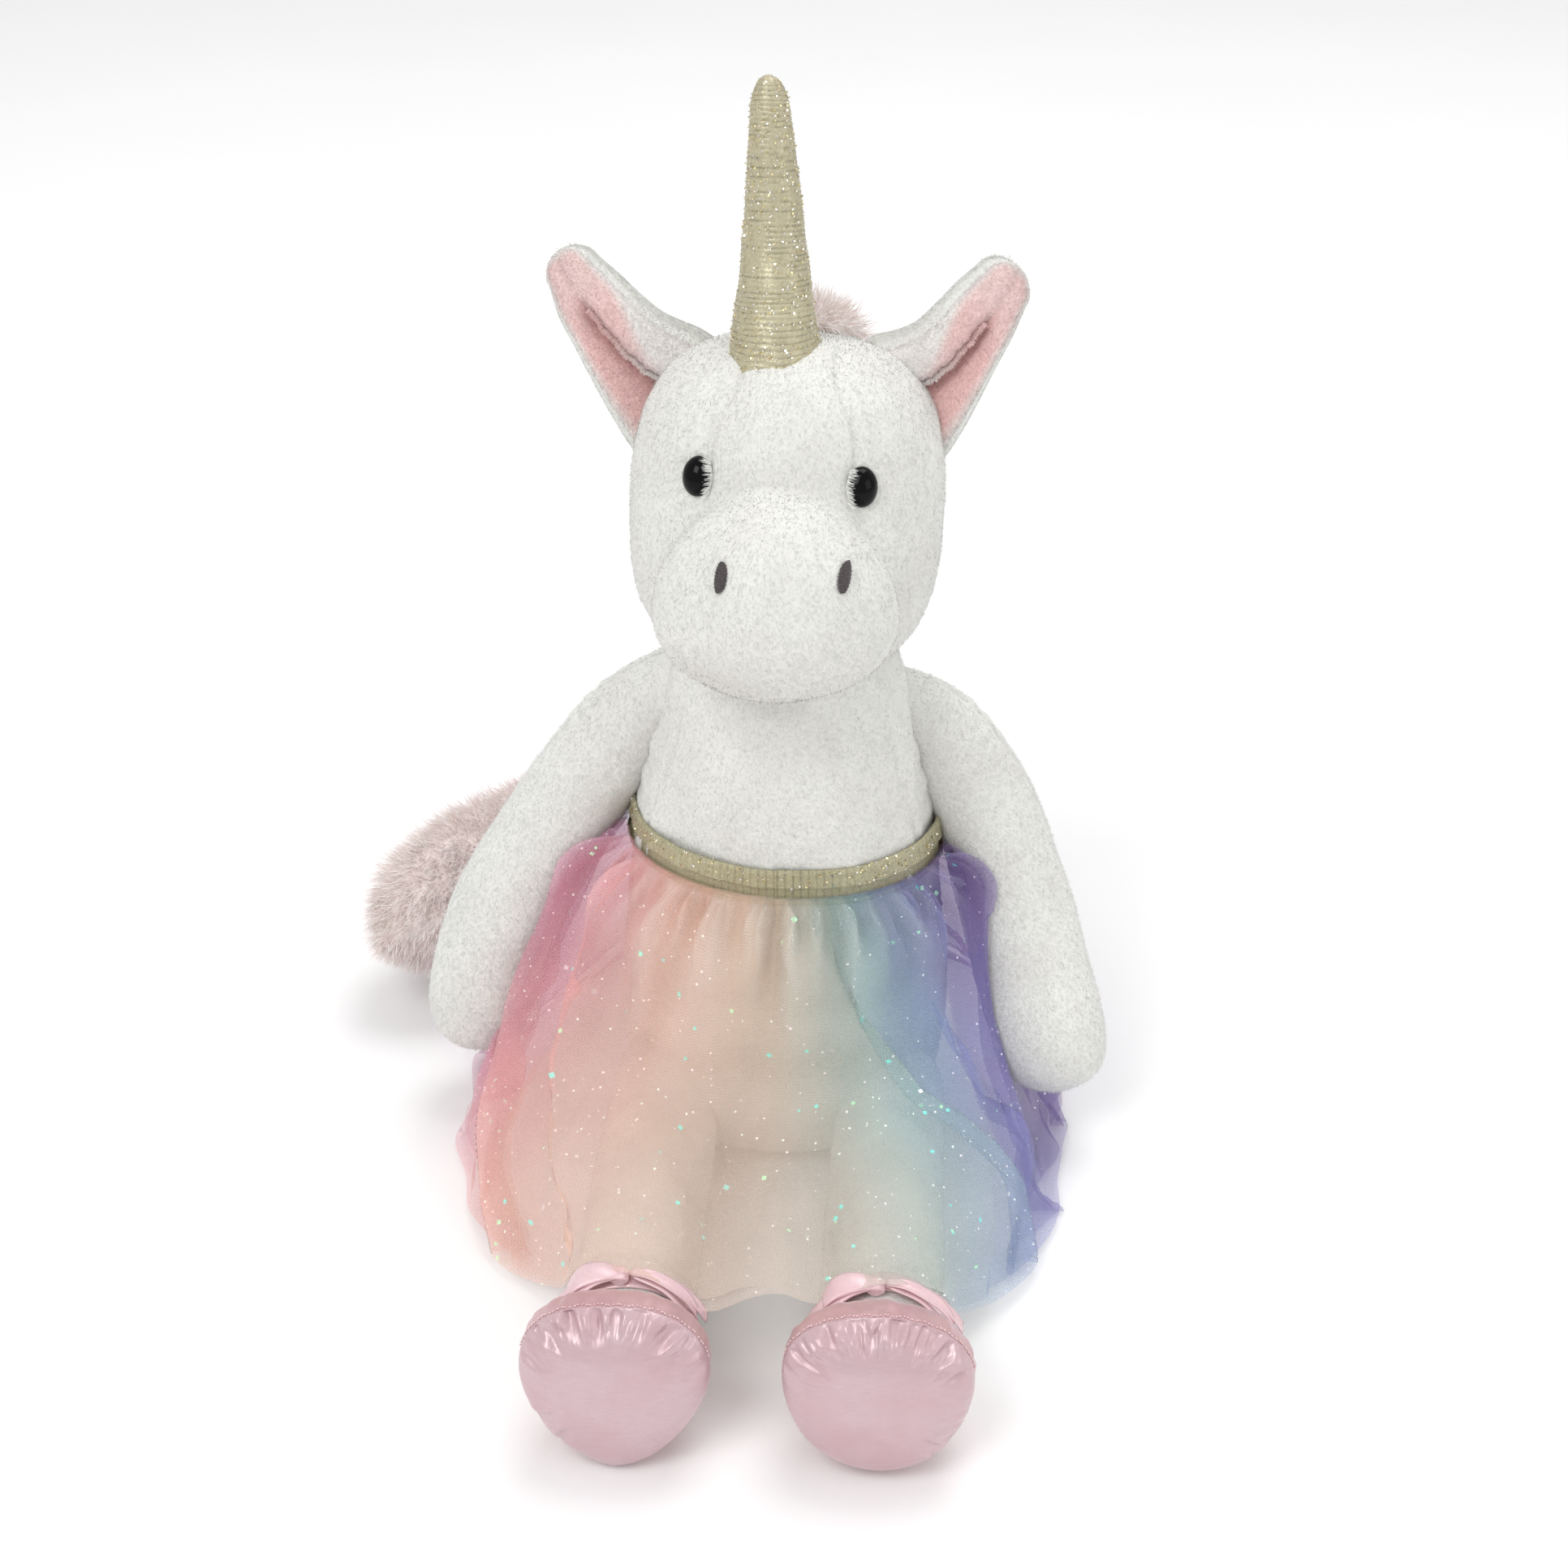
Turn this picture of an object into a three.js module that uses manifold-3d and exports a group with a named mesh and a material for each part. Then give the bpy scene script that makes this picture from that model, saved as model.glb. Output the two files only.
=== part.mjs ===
// Plush unicorn doll, sitting, in a gathered tulle skirt and satin slippers.
// Millimetres, +Z up. The doll faces -Y and its own left is +X. The origin is the middle of the flat seat.
import * as THREE from "three";
import { mergeVertices } from "three/addons/utils/BufferGeometryUtils.js";
import Module from "manifold-3d";

const wasm = await Module();
wasm.setup();

// ---------------------------------------------------------------- driving dimensions
const PLUSH = 2.4; // pile and backing of the plush fabric
const SATIN = 0.8; // slipper satin
const TULLE = 1.0; // one tulle layer with its air
const GAP = 0.5; // between one piece and the next

const SEAT_RADIUS = 38; // flat part of the seat
const TORSO_LEAN = Math.tan((5 * Math.PI) / 180); // how far the back leans for each mm of height
const TORSO_DEPTH = 0.85; // front-to-back size over width, below the chest
const NECK_Z = 143; // centre of the round neck
const NECK_RADIUS = 36.5;
const NECK_Y = NECK_Z * TORSO_LEAN;

const HEAD_PITCH = (-15 * Math.PI) / 180; // the face looks up
const HEAD_ROLL = (2 * Math.PI) / 180; // its left side hangs a little lower
const HEAD_OFFSET = new THREE.Vector3(0, -13, 54); // head centre from the neck centre, in the pitched frame
const HEAD_DEPTH = 0.93;

const HORN_LENGTH = 77;
const HORN_TILT = (5 * Math.PI) / 180; // forwards in the head's own frame
const HORN_SIDE = (-3 * Math.PI) / 180; // towards the right ear
const HORN_X = -5;
const HORN_Y = -9;
const EYE_RADIUS = 6;
const EYE_SPACING = 46.4;
const NOSTRIL_SPACING = 33.6;

const ARM_LENGTH = 126;
const SHOULDER_X = 46.4; // flat face where each arm starts
const LEG_RADIUS = 17;
const LEG_SPACING = 70.5;
const LEG_Z = 18.8; // height of the leg's centreline
const LEG_START_Y = -26;
const ANKLE_Y = -150.5;
const SOLE_RADIUS = 25;
const SOLE_Y = -169.6; // plane of the seam between upper and sole

const WAIST_Z = 98; // middle of the waistband
const WAIST_WIDTH = 10;
const TAIL_ROOT = new THREE.Vector3(-2, 54, 111);

const WHITE = { color: 0xf4f3ef, roughness: 0.95 };
const PINK_LINING = { color: 0xefb9b8, roughness: 0.95 };
const FILL = { color: 0xe9e9e6, roughness: 1.0 };
const GOLD = { color: 0xb9ab7f, roughness: 0.45, metalness: 0.5 };
const SATIN_PINK = { color: 0xdcb2ba, roughness: 0.35 };
const HAIR_PINK = { color: 0xf3ded9, roughness: 0.9 };

// ---------------------------------------------------------------- helpers
const smooth = (a, b, x) => {
  const t = THREE.MathUtils.clamp((x - a) / (b - a), 0, 1);
  return t * t * (3 - 2 * t);
};
const points = (rows) => rows.map(([x, y, z]) => new THREE.Vector3(x, y, z));
const curve = (rows, closed = false) => new THREE.CatmullRomCurve3(points(rows), closed, "centripetal");

// A geometry with shared vertices, only positions, and faces that point outwards.
function sealed(geometry) {
  const bare = new THREE.BufferGeometry();
  bare.setAttribute("position", geometry.getAttribute("position").clone());
  if (geometry.index) bare.setIndex(geometry.index.clone());
  const merged = mergeVertices(bare, 1e-3);
  const p = merged.getAttribute("position");
  const kept = [];
  let volume = 0;
  const [a, b, c] = [new THREE.Vector3(), new THREE.Vector3(), new THREE.Vector3()];
  for (let i = 0; i < merged.index.count; i += 3) {
    const [ia, ib, ic] = [0, 1, 2].map((k) => merged.index.getX(i + k));
    if (ia === ib || ib === ic || ia === ic) continue;
    kept.push(ia, ib, ic);
    volume += a.fromBufferAttribute(p, ia).dot(b.fromBufferAttribute(p, ib).cross(c.fromBufferAttribute(p, ic)));
  }
  if (volume < 0) for (let i = 0; i < kept.length; i += 3) [kept[i + 1], kept[i + 2]] = [kept[i + 2], kept[i + 1]];
  merged.setIndex(kept);
  return merged;
}

// Moves every vertex of a geometry by a function of its place.
function warp(geometry, move) {
  const p = geometry.getAttribute("position");
  const v = new THREE.Vector3();
  for (let i = 0; i < p.count; i++) {
    move(v.fromBufferAttribute(p, i));
    p.setXYZ(i, v.x, v.y, v.z);
  }
  return sealed(geometry);
}

// Revolves [radius, height] rows about Z.
function lathed(rows, segments) {
  const profile = rows.map(([r, z]) => new THREE.Vector2(r, z));
  return sealed(new THREE.LatheGeometry(profile, segments).rotateX(Math.PI / 2));
}

// The same profile moved inwards by d. The first row stays at its height; a row on the axis only moves along it.
function inset(rows, d) {
  return rows.map(([r, z], i) => {
    if (i === 0) return [r - d, z];
    const [r0, z0] = rows[i - 1];
    const [r1, z1] = rows[Math.min(i + 1, rows.length - 1)];
    if (i === rows.length - 1) return r === 0 ? [0, z - d] : [r - d, z];
    const long = Math.hypot(r1 - r0, z1 - z0);
    return [Math.max(r - (d * (z1 - z0)) / long, 0.01), z + (d * (r1 - r0)) / long];
  });
}

// A skin that is open where its profile starts and closed where it ends on the axis.
const skinRows = (rows, thickness) => [...rows].reverse().concat(inset(rows, thickness));
// The filling that fits inside such a skin.
const fillRows = (rows, thickness) => {
  const inner = inset(rows, thickness + GAP);
  return [[0, inner[0][1]], ...inner];
};

// Carries a shape made along +Z onto a path of the given length.
function along(path, length, flatten = 1) {
  const side = new THREE.Vector3();
  const deep = new THREE.Vector3();
  const forward = new THREE.Vector3(0, -1, 0);
  return (v) => {
    const share = THREE.MathUtils.clamp(v.z / length, 0, 1);
    const tangent = path.getTangentAt(share);
    side.crossVectors(tangent, forward).normalize();
    deep.crossVectors(side, tangent);
    const [x, y] = [v.x, v.y * flatten];
    v.copy(path.getPointAt(share)).addScaledVector(side, x).addScaledVector(deep, y);
  };
}

// A sheet of even thickness on surface(u, v), open or wrapped round in u.
function slab(surface, nu, nv, thickness, wrapped = false) {
  const columns = wrapped ? nu : nu + 1;
  const step = 1e-3;
  const [du, dv] = [new THREE.Vector3(), new THREE.Vector3()];
  const place = [];
  for (const side of [1, 0])
    for (let i = 0; i < columns; i++)
      for (let j = 0; j <= nv; j++) {
        const [u, v] = [i / nu, j / nv];
        const [ua, va] = [wrapped ? u : Math.min(u, 1 - step), Math.min(v, 1 - step)];
        const here = surface(ua, va);
        du.subVectors(surface(ua + step, va), here);
        dv.subVectors(surface(ua, va + step), here);
        const normal = du.cross(dv).normalize();
        place.push(...surface(u, v).addScaledVector(normal, side * thickness).toArray());
      }
  const at = (side, i, j) => side * columns * (nv + 1) + (i % columns) * (nv + 1) + j;
  const faces = [];
  const quad = (a, b, c, d) => faces.push(a, b, c, a, c, d);
  for (let i = 0; i < nu; i++) {
    for (let j = 0; j < nv; j++) {
      quad(at(0, i, j), at(0, i + 1, j), at(0, i + 1, j + 1), at(0, i, j + 1));
      quad(at(1, i, j), at(1, i, j + 1), at(1, i + 1, j + 1), at(1, i + 1, j));
    }
    quad(at(0, i, 0), at(1, i, 0), at(1, i + 1, 0), at(0, i + 1, 0));
    quad(at(0, i, nv), at(0, i + 1, nv), at(1, i + 1, nv), at(1, i, nv));
  }
  if (!wrapped)
    for (let j = 0; j < nv; j++) {
      quad(at(0, 0, j), at(0, 0, j + 1), at(1, 0, j + 1), at(1, 0, j));
      quad(at(0, nu, j), at(1, nu, j), at(1, nu, j + 1), at(0, nu, j + 1));
    }
  const geometry = new THREE.BufferGeometry();
  geometry.setAttribute("position", new THREE.BufferAttribute(new Float32Array(place), 3));
  geometry.setIndex(faces);
  return sealed(geometry);
}

// Booleans on closed geometries.
const solid = (geometry) =>
  new wasm.Manifold(
    new wasm.Mesh({
      numProp: 3,
      vertProperties: geometry.getAttribute("position").array,
      triVerts: new Uint32Array(geometry.index.array),
    }),
  );
function geometryOf(manifold) {
  const made = manifold.getMesh();
  const geometry = new THREE.BufferGeometry();
  geometry.setAttribute("position", new THREE.BufferAttribute(made.vertProperties.slice(), 3));
  geometry.setIndex(Array.from(made.triVerts));
  return sealed(geometry);
}
const cut = (geometry, ...tools) => geometryOf(tools.reduce((s, t) => s.subtract(solid(t)), solid(geometry)));
const common = (a, b) => geometryOf(solid(a).intersect(solid(b)));

const ball = (radius, x, y, z, segments = 24) =>
  sealed(new THREE.SphereGeometry(radius, segments, segments / 2).rotateX(Math.PI / 2)).translate(x, y, z);

const group = new THREE.Group();
function add(name, geometry, look, parent = group) {
  const mesh = new THREE.Mesh(geometry, new THREE.MeshStandardMaterial(look));
  mesh.name = name;
  parent.add(mesh);
  return mesh;
}

// ---------------------------------------------------------------- torso, seat and neck
const neckRow = (degrees) => [
  NECK_RADIUS * Math.sin((degrees * Math.PI) / 180),
  NECK_Z + NECK_RADIUS * Math.cos((degrees * Math.PI) / 180),
];
// From the flat seat up to the open top of the neck.
const TORSO = [
  [SEAT_RADIUS, 0], [46, 5], [50.5, 16], [52, 36], [51, 60], [49, 82], [47, WAIST_Z], [45, 112], [41.8, 125],
  [38.6, 137], neckRow(76), neckRow(60), neckRow(45),
];
const torsoDepth = (z) => THREE.MathUtils.lerp(TORSO_DEPTH, 1, smooth(90, 132, z));
const lean = (v) => v.set(v.x, v.y * torsoDepth(v.z) + Math.min(v.z, NECK_Z) * TORSO_LEAN, v.z);

const torsoInner = [[SEAT_RADIUS - PLUSH, PLUSH], ...inset(TORSO, PLUSH).slice(1)];
add(
  "torso_skin",
  warp(lathed([[0, 0], ...TORSO, ...[...torsoInner].reverse(), [0, PLUSH]], 28), lean),
  WHITE,
);
const neckBall = (extra, segments) => ball(NECK_RADIUS - PLUSH + extra, 0, NECK_Y, NECK_Z, segments);
const BAG_TOP = 30; // the pellet bag fills the seat up to here
const torsoRoom = warp(
  lathed([[0, PLUSH + GAP], [SEAT_RADIUS - PLUSH - GAP, PLUSH + GAP], ...inset(TORSO, PLUSH + GAP).slice(1),
    [0, inset(TORSO, PLUSH + GAP).at(-1)[1]]], 28),
  lean,
);
const layer = (low, high) => sealed(new THREE.BoxGeometry(200, 200, high - low)).translate(0, 0, (low + high) / 2);
add("seat_pellet_bag", common(torsoRoom, layer(0, BAG_TOP)), { color: 0xdcdcd8, roughness: 0.9 });
add("torso_stuffing", cut(common(torsoRoom, layer(BAG_TOP + GAP, NECK_Z + 4)), neckBall(0.6, 28)), FILL);
add("neck_stuffing", neckBall(-GAP - 0.3, 20), FILL);

// ---------------------------------------------------------------- head, on the neck
const neck = new THREE.Group();
neck.position.set(0, NECK_Y, NECK_Z);
neck.rotation.x = HEAD_PITCH;
group.add(neck);
const head = new THREE.Group();
head.position.copy(HEAD_OFFSET);
head.rotation.y = HEAD_ROLL;
neck.add(head);

// From the neck opening up to the crown.
const HEAD = [
  [34.6, -34.5], [38.6, -32], [42, -25], [45.2, -11], [46.6, 4], [46.2, 18], [43.4, 31], [37, 42], [26, 49.8],
  [13, 53.2], [0, 54],
];
const neckInHead = HEAD_OFFSET.clone().negate().applyAxisAngle(new THREE.Vector3(0, 1, 0), -HEAD_ROLL);
const headWarp = (v) => {
  const low = 1 - smooth(-34, -10, v.z);
  v.x += neckInHead.x * low;
  v.y = v.y * THREE.MathUtils.lerp(HEAD_DEPTH, 1, low) + neckInHead.y * low;
};
const headSolid = (extra) => {
  const rows = inset(HEAD, -extra);
  return warp(lathed([[0, HEAD[0][1] - extra], [rows[0][0], HEAD[0][1] - extra], ...rows.slice(1)], 24), headWarp);
};

// The muzzle is an egg on the lower front of the head.
const MUZZLE = { x: 34.5, y: 30, z: 28.5, centreY: -39, centreZ: -17.5 };
const muzzleSolid = (extra) =>
  warp(ball(1, 0, 0, 0, 20), (v) => {
    v.set(v.x * (MUZZLE.x + extra), v.y * (MUZZLE.y + extra), v.z * (MUZZLE.z + extra));
    v.add(new THREE.Vector3(0, MUZZLE.centreY, MUZZLE.centreZ));
  });

// Where a straight line forwards from (x, z) leaves the head, near enough to seat a piece there.
const headFront = (x, z) => {
  const row = HEAD.findIndex(([, height]) => height > z);
  const [[r0, z0], [r1, z1]] = [HEAD[row - 1], HEAD[row]];
  const r = THREE.MathUtils.lerp(r0, r1, (z - z0) / (z1 - z0));
  return -HEAD_DEPTH * Math.sqrt(r * r - x * x);
};
const EYE_Z = 15;
const EYE = new THREE.Vector3(EYE_SPACING / 2, headFront(EYE_SPACING / 2, EYE_Z) - 0.6, EYE_Z);
// The eye's axis leans outwards and up with the face.
const eyeFrame = (side) => {
  const frame = new THREE.Object3D();
  frame.position.set(side * EYE.x, EYE.y, EYE.z);
  frame.lookAt(new THREE.Vector3(side * (EYE.x + 14), EYE.y - 24, EYE.z + 6));
  frame.updateMatrix();
  return frame.matrix;
};
const rod = (radius, from, to, side) =>
  lathed([[0, from], [radius, from], [radius, to], [0, to]], 12).applyMatrix4(eyeFrame(side));
const SIDES = [["left", 1], ["right", -1]];

const headSkinBody = warp(lathed(skinRows(HEAD, PLUSH), 24), headWarp);
add("head_skin", cut(headSkinBody, rod(2.5, -14, 4, 1), rod(2.5, -14, 4, -1)), WHITE, head);
const neckHollow = ball(NECK_RADIUS + 1.4, ...neckInHead.toArray(), 24);
const washerRoom = SIDES.map(([, side]) => rod(8, -16, 2, side));
const headFill = warp(lathed(fillRows(HEAD, PLUSH), 24), headWarp);
add("head_stuffing", cut(headFill, neckHollow, ...washerRoom), FILL, head);

const muzzleOpening = headSolid(GAP);
add("muzzle_skin", cut(muzzleSolid(0), muzzleSolid(-PLUSH), muzzleOpening, neckHollow), WHITE, head);
add("muzzle_stuffing", cut(muzzleSolid(-PLUSH - GAP), headSolid(GAP + 0.3), neckHollow), FILL, head);

for (const [name, side] of SIDES) {
  const dome = [[0, -14], [2, -14], [2, 0.4], [EYE_RADIUS - 0.8, 0.5], [EYE_RADIUS, 1.6], [4.6, 3.7], [2.4, 4.8], [0, 5.2]];
  add(`${name}_eye`, lathed(dome, 12).applyMatrix4(eyeFrame(side)), { color: 0x0b0b0d, roughness: 0.08 }, head);
  const washer = [[2.4, -11.4], [6.4, -11.4], [6.4, -10.2], [2.4, -10.2], [2.4, -11.4]];
  add(`${name}_eye_washer`, lathed(washer, 12).applyMatrix4(eyeFrame(side)), { color: 0xd8d8d8, roughness: 0.5 }, head);
  // Satin-stitched nostrils lie on the muzzle.
  const stitchRoom = lathed([[0, 0], [1, 0], [1, 1], [0, 1]], 12);
  warp(stitchRoom, (v) => v.set(v.x * 1.9 + side * (NOSTRIL_SPACING / 2) + 2.5, -50 - 30 * v.z, v.y * 4.6 - 8));
  const stitchLayer = cut(muzzleSolid(1.3), muzzleSolid(0.3));
  add(`${name}_nostril`, common(stitchLayer, sealed(stitchRoom)), { color: 0x6d6264, roughness: 0.8 }, head);
}

// ---------------------------------------------------------------- horn
const HORN = [
  [13.4, -8], [13.2, 0], [12.2, 8], [10.8, 22], [9.2, 38], [7.4, 54], [5.4, 67], [3.4, 74], [0, HORN_LENGTH],
];
const hornPlace = (geometry) => geometry.rotateX(HORN_TILT).rotateY(HORN_SIDE).translate(HORN_X, HORN_Y, 48.5);
add("horn_cover", cut(hornPlace(lathed(skinRows(HORN, 1.2), 14)), headSolid(0.4)), GOLD, head);
add("horn_stuffing", cut(hornPlace(lathed(fillRows(HORN, 1.2), 14)), headSolid(0.4 + GAP)), FILL, head);

// ---------------------------------------------------------------- mane, a strip of long pile over the crown and nape
const maneLine = curve([[1, 12, 52], [2, 26, 51], [1, 40, 38], [0, 47, 18], [0, 46, -4], [0, 40, -22]]);
const MANE = [[0, 0], [13, 1], [18, 10], [18, 40], [16, 70], [12, 88], [7, 97], [0, 100]];
const maneLong = maneLine.getLength();
const maneBody = warp(
  lathed(MANE.map(([r, s]) => [r, (s * maneLong) / 100]), 14),
  (v) => {
    const share = THREE.MathUtils.clamp(v.z / maneLong, 0, 1);
    const tangent = maneLine.getTangentAt(share);
    const out = new THREE.Vector3(0, -tangent.z, tangent.y).negate().normalize();
    const [x, y] = [v.x, v.y * 0.85];
    v.copy(maneLine.getPointAt(share)).addScaledVector(out, y);
    v.x += x;
  },
);
const maneRoom = hornPlace(lathed([[0, -10], [15.5, -10], [14.2, 8], [12.5, 30], [0, 32]], 14));
add("mane", cut(maneBody, headSolid(GAP), maneRoom), HAIR_PINK, head);

// ---------------------------------------------------------------- ears
// Lower and upper edges of the ear from the head to the tip, for the left ear.
const EAR_LOW = curve([[42, 3, 21], [48, 0, 26], [59.5, -2, 42], [69, 0, 57], [69, 3, 67], [63, 5, 72.5]]);
const EAR_HIGH = curve([[22, 2, 50], [30, 1, 55], [42, -1, 62], [54, 2, 71], [59, 4, 73.5], [63, 5, 72.5]]);
const EAR_BOWL = 11; // how far back the middle of the ear lies
const earPoint = (side, back, margin) => (u, v) => {
  const share = THREE.MathUtils.lerp(0, 0.985 - 3.5 * margin, u);
  const across = THREE.MathUtils.lerp(margin * 2, 1 - margin * 2, v);
  const bowl = EAR_BOWL * Math.sin(Math.PI * across) * (1 - 0.75 * share) + back;
  const p = EAR_LOW.getPointAt(share).lerp(EAR_HIGH.getPointAt(share), across);
  return new THREE.Vector3(side * p.x, p.y + bowl, p.z);
};
for (const [name, side] of SIDES) {
  const shell = slab(earPoint(side, 3.2, 0), 9, 6, -side * PLUSH);
  add(`${name}_ear_back`, cut(shell, headSolid(2.2)), WHITE, head);
  const lining = slab(earPoint(side, 0, 0.035), 9, 6, -side * 1.6);
  add(`${name}_ear_lining`, cut(lining, headSolid(2.2)), PINK_LINING, head);
}

// ---------------------------------------------------------------- arms
const ARM = [
  [11.5, 0], [13.5, 12], [16, 26], [17.2, 50], [18, 80], [18, 102], [15.5, 115], [9.5, 123], [0, ARM_LENGTH],
];
const ARM_PATHS = {
  left: curve([[41, 14, 134], [50, 14, 125], [61.5, 13, 104], [70.5, 7, 80], [78, -3, 57], [85, -15, 37], [88, -22, 19]]),
  right: curve([[-41, 14, 134], [-51, 14, 124], [-67, 11, 102], [-83, 4, 77], [-93, -2, 54], [-97, -5, 36], [-95.5, -6.5, 18]]),
};
const torsoClearance = warp(lathed([[0, 0], ...inset(TORSO, -1.8), [0, NECK_Z + 28]], 28), lean);
const besideWaist = common(
  warp(lathed([[0, 0], ...inset(TORSO, -4.9), [0, NECK_Z + 28]], 28), lean),
  sealed(new THREE.BoxGeometry(200, 200, 40)).translate(0, 0, 88),
);
const inside = sealed(new THREE.BoxGeometry(2 * SHOULDER_X, 200, 120)).translate(0, 0, 130);
for (const [name] of SIDES) {
  const place = along(ARM_PATHS[name], ARM_LENGTH, 0.9);
  add(`${name}_arm_skin`, cut(warp(lathed(skinRows(ARM, PLUSH), 14), place), inside, torsoClearance, besideWaist), WHITE);
  add(`${name}_arm_stuffing`, cut(warp(lathed(fillRows(ARM, PLUSH), 14), place), inside, torsoClearance, besideWaist), FILL);
}

// ---------------------------------------------------------------- legs and slippers, from a foot outline along -Y
const forward = (geometry, x, y, z) => geometry.rotateX(Math.PI / 2).translate(x, y, z);
const legLength = LEG_START_Y - ANKLE_Y;
// The slipper's upper: [radius, distance back from the sole seam]. Its underside stays on the floor.
const UPPER = [[18.8, 22], [20.6, 18.6], [23.6, 13], [25.4, 6], [SOLE_RADIUS, 0]];
const onFloor = (x) => (v) => {
  const distance = v.z;
  const row = UPPER.findIndex(([, back]) => back <= distance);
  const [[r0, z0], [r1, z1]] = [UPPER[Math.max(row - 1, 0)], UPPER[row < 0 ? UPPER.length - 1 : row]];
  const rise = z0 === z1 ? r0 : THREE.MathUtils.lerp(r0, r1, (distance - z0) / (z1 - z0));
  v.set(v.x + x, SOLE_Y + distance, rise - v.y);
};
for (const [name, side] of SIDES) {
  const x = (side * LEG_SPACING) / 2;
  const tubeRows = [
    [LEG_RADIUS, 0], [LEG_RADIUS, legLength], [LEG_RADIUS - PLUSH, legLength], [LEG_RADIUS - PLUSH, 0], [LEG_RADIUS, 0],
  ];
  add(`${name}_leg_skin`, cut(forward(lathed(tubeRows, 16), x, LEG_START_Y, LEG_Z), torsoClearance), WHITE);
  const filled = LEG_RADIUS - PLUSH - GAP;
  const coreRows = [[0, 0], [filled, 0], [filled, legLength], [0, legLength]];
  add(`${name}_leg_stuffing`, cut(forward(lathed(coreRows, 16), x, LEG_START_Y, LEG_Z), torsoClearance), FILL);

  const innerUpper = UPPER.map(([r, back]) => [r - SATIN, back]).reverse();
  const upperRows = [...UPPER, ...innerUpper, UPPER[0]];
  add(`${name}_slipper_upper`, warp(lathed(upperRows, 18), onFloor(x)), SATIN_PINK);
  const footRows = UPPER.slice(1).map(([r, back]) => [r - SATIN - GAP, Math.max(back - 0.4, 0.4)]);
  add(
    `${name}_foot_stuffing`,
    warp(lathed([[0, footRows[0][1]], ...footRows, [0, 0.4]], 18), onFloor(x)),
    FILL,
  );
  const soleRows = [[0, 0.3], [SOLE_RADIUS - 1, 0.3], [SOLE_RADIUS, 1.4], [20, 3.9], [12, 5.2], [0, 5.8]];
  add(`${name}_slipper_sole`, forward(lathed(soleRows, 18), x, SOLE_Y, SOLE_RADIUS), SATIN_PINK);

  // Satin ribbon round the ankle, tied in a bow on the instep.
  const wrapRows = [[17.5, 0], [18.3, 0], [18.3, 6.4], [17.5, 6.4], [17.5, 0]];
  add(`${name}_ankle_ribbon`, forward(lathed(wrapRows, 16), x, -140, LEG_Z), SATIN_PINK);
  const knot = new THREE.Vector3(x, -144, LEG_Z + 21.3);
  add(
    `${name}_bow_knot`,
    sealed(new THREE.SphereGeometry(1, 10, 6)).scale(4, 4.2, 2.6).translate(...knot.toArray()),
    SATIN_PINK,
  );
  for (const [where, turn] of [["outer", side], ["inner", -side]]) {
    const loop = curve([[4.6, -0.5, 0.5], [11, 0, 3.4], [18, 1, 2.6], [20, 1, 0], [15, 0, -2], [4.6, 0.5, -0.9]]);
    const tail = curve([[4.8, -5.6, 1.4], [8, -6.4, 1.8], [13, -7, 0.2], [18, -7.4, -4]]);
    const ribbon = (line, width) => (u, v) => {
      const p = line.getPointAt(u);
      return new THREE.Vector3(knot.x + turn * p.x, knot.y + p.y + (v - 0.5) * width, knot.z + p.z);
    };
    add(`${name}_bow_${where}_loop`, slab(ribbon(loop, 6), 12, 1, 0.7 * turn), SATIN_PINK);
    add(`${name}_bow_${where}_tail`, slab(ribbon(tail, 4), 6, 1, 0.7 * turn), SATIN_PINK);
  }
}

// ---------------------------------------------------------------- waistband and tulle skirt
const waistRadius = (z, extra) => {
  const row = TORSO.findIndex(([, height]) => height >= z);
  const [[r0, z0], [r1, z1]] = [TORSO[row - 1], TORSO[row]];
  return THREE.MathUtils.lerp(r0, r1, (z - z0) / (z1 - z0)) + extra;
};
const [bandLow, bandHigh] = [WAIST_Z - WAIST_WIDTH / 2, WAIST_Z + WAIST_WIDTH / 2];
const bandRows = [
  [waistRadius(bandLow, 0.6), bandLow], [waistRadius(bandLow, 2.2), bandLow], [waistRadius(WAIST_Z, 2.3), WAIST_Z], [waistRadius(bandHigh, 2), bandHigh],
  [waistRadius(bandHigh, 0.6), bandHigh], [waistRadius(WAIST_Z, 0.6), WAIST_Z],
  [waistRadius(bandLow, 0.6), bandLow],
];
add("skirt_waistband", warp(lathed(bandRows, 28), lean), GOLD);

// Three closed lines shape the skirt: under the band, half way down, and the hem, all from the front round to the left.
const HALF_WAY = curve([
  [0, -46, 36], [36, -42, 37], [56, -16, 14], [58, 12, 12], [54, 50, 18], [28, 74, 26],
  [0, 82, 28], [-28, 74, 26], [-54, 50, 18], [-60, 12, 12], [-58, -16, 14], [-37, -42, 37],
], true);
const HEM = curve([
  [0, -139, 38.8], [38, -139, 40.4], [70, -117, 24], [86, -72, 5], [94, -12, 4], [86, 40, 4], [48, 84, 4],
  [0, 96, 4], [-46, 84, 4], [-88, 40, 4], [-102, -12, 4], [-86, -72, 5], [-70, -117, 24], [-38, -139, 40.4],
], true);
const skirtPoint = (drop, out, shrink) => (u, v) => {
  const angle = 2 * Math.PI * u;
  const top = new THREE.Vector3(Math.sin(angle), -Math.cos(angle), 0).multiplyScalar(waistRadius(bandLow, out));
  top.z = bandLow - GAP - 0.4;
  lean(top);
  const [middle, hem] = [HALF_WAY.getPoint(u), HEM.getPoint(u)];
  for (const p of [middle, hem]) p.set(p.x * shrink, 8 + (p.y - 8) * shrink, p.z - 60 * (1 - shrink));
  const t = v * drop;
  return top
    .multiplyScalar((1 - t) * (1 - t))
    .addScaledVector(middle, 2 * t * (1 - t))
    .addScaledVector(hem, t * t);
};
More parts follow.
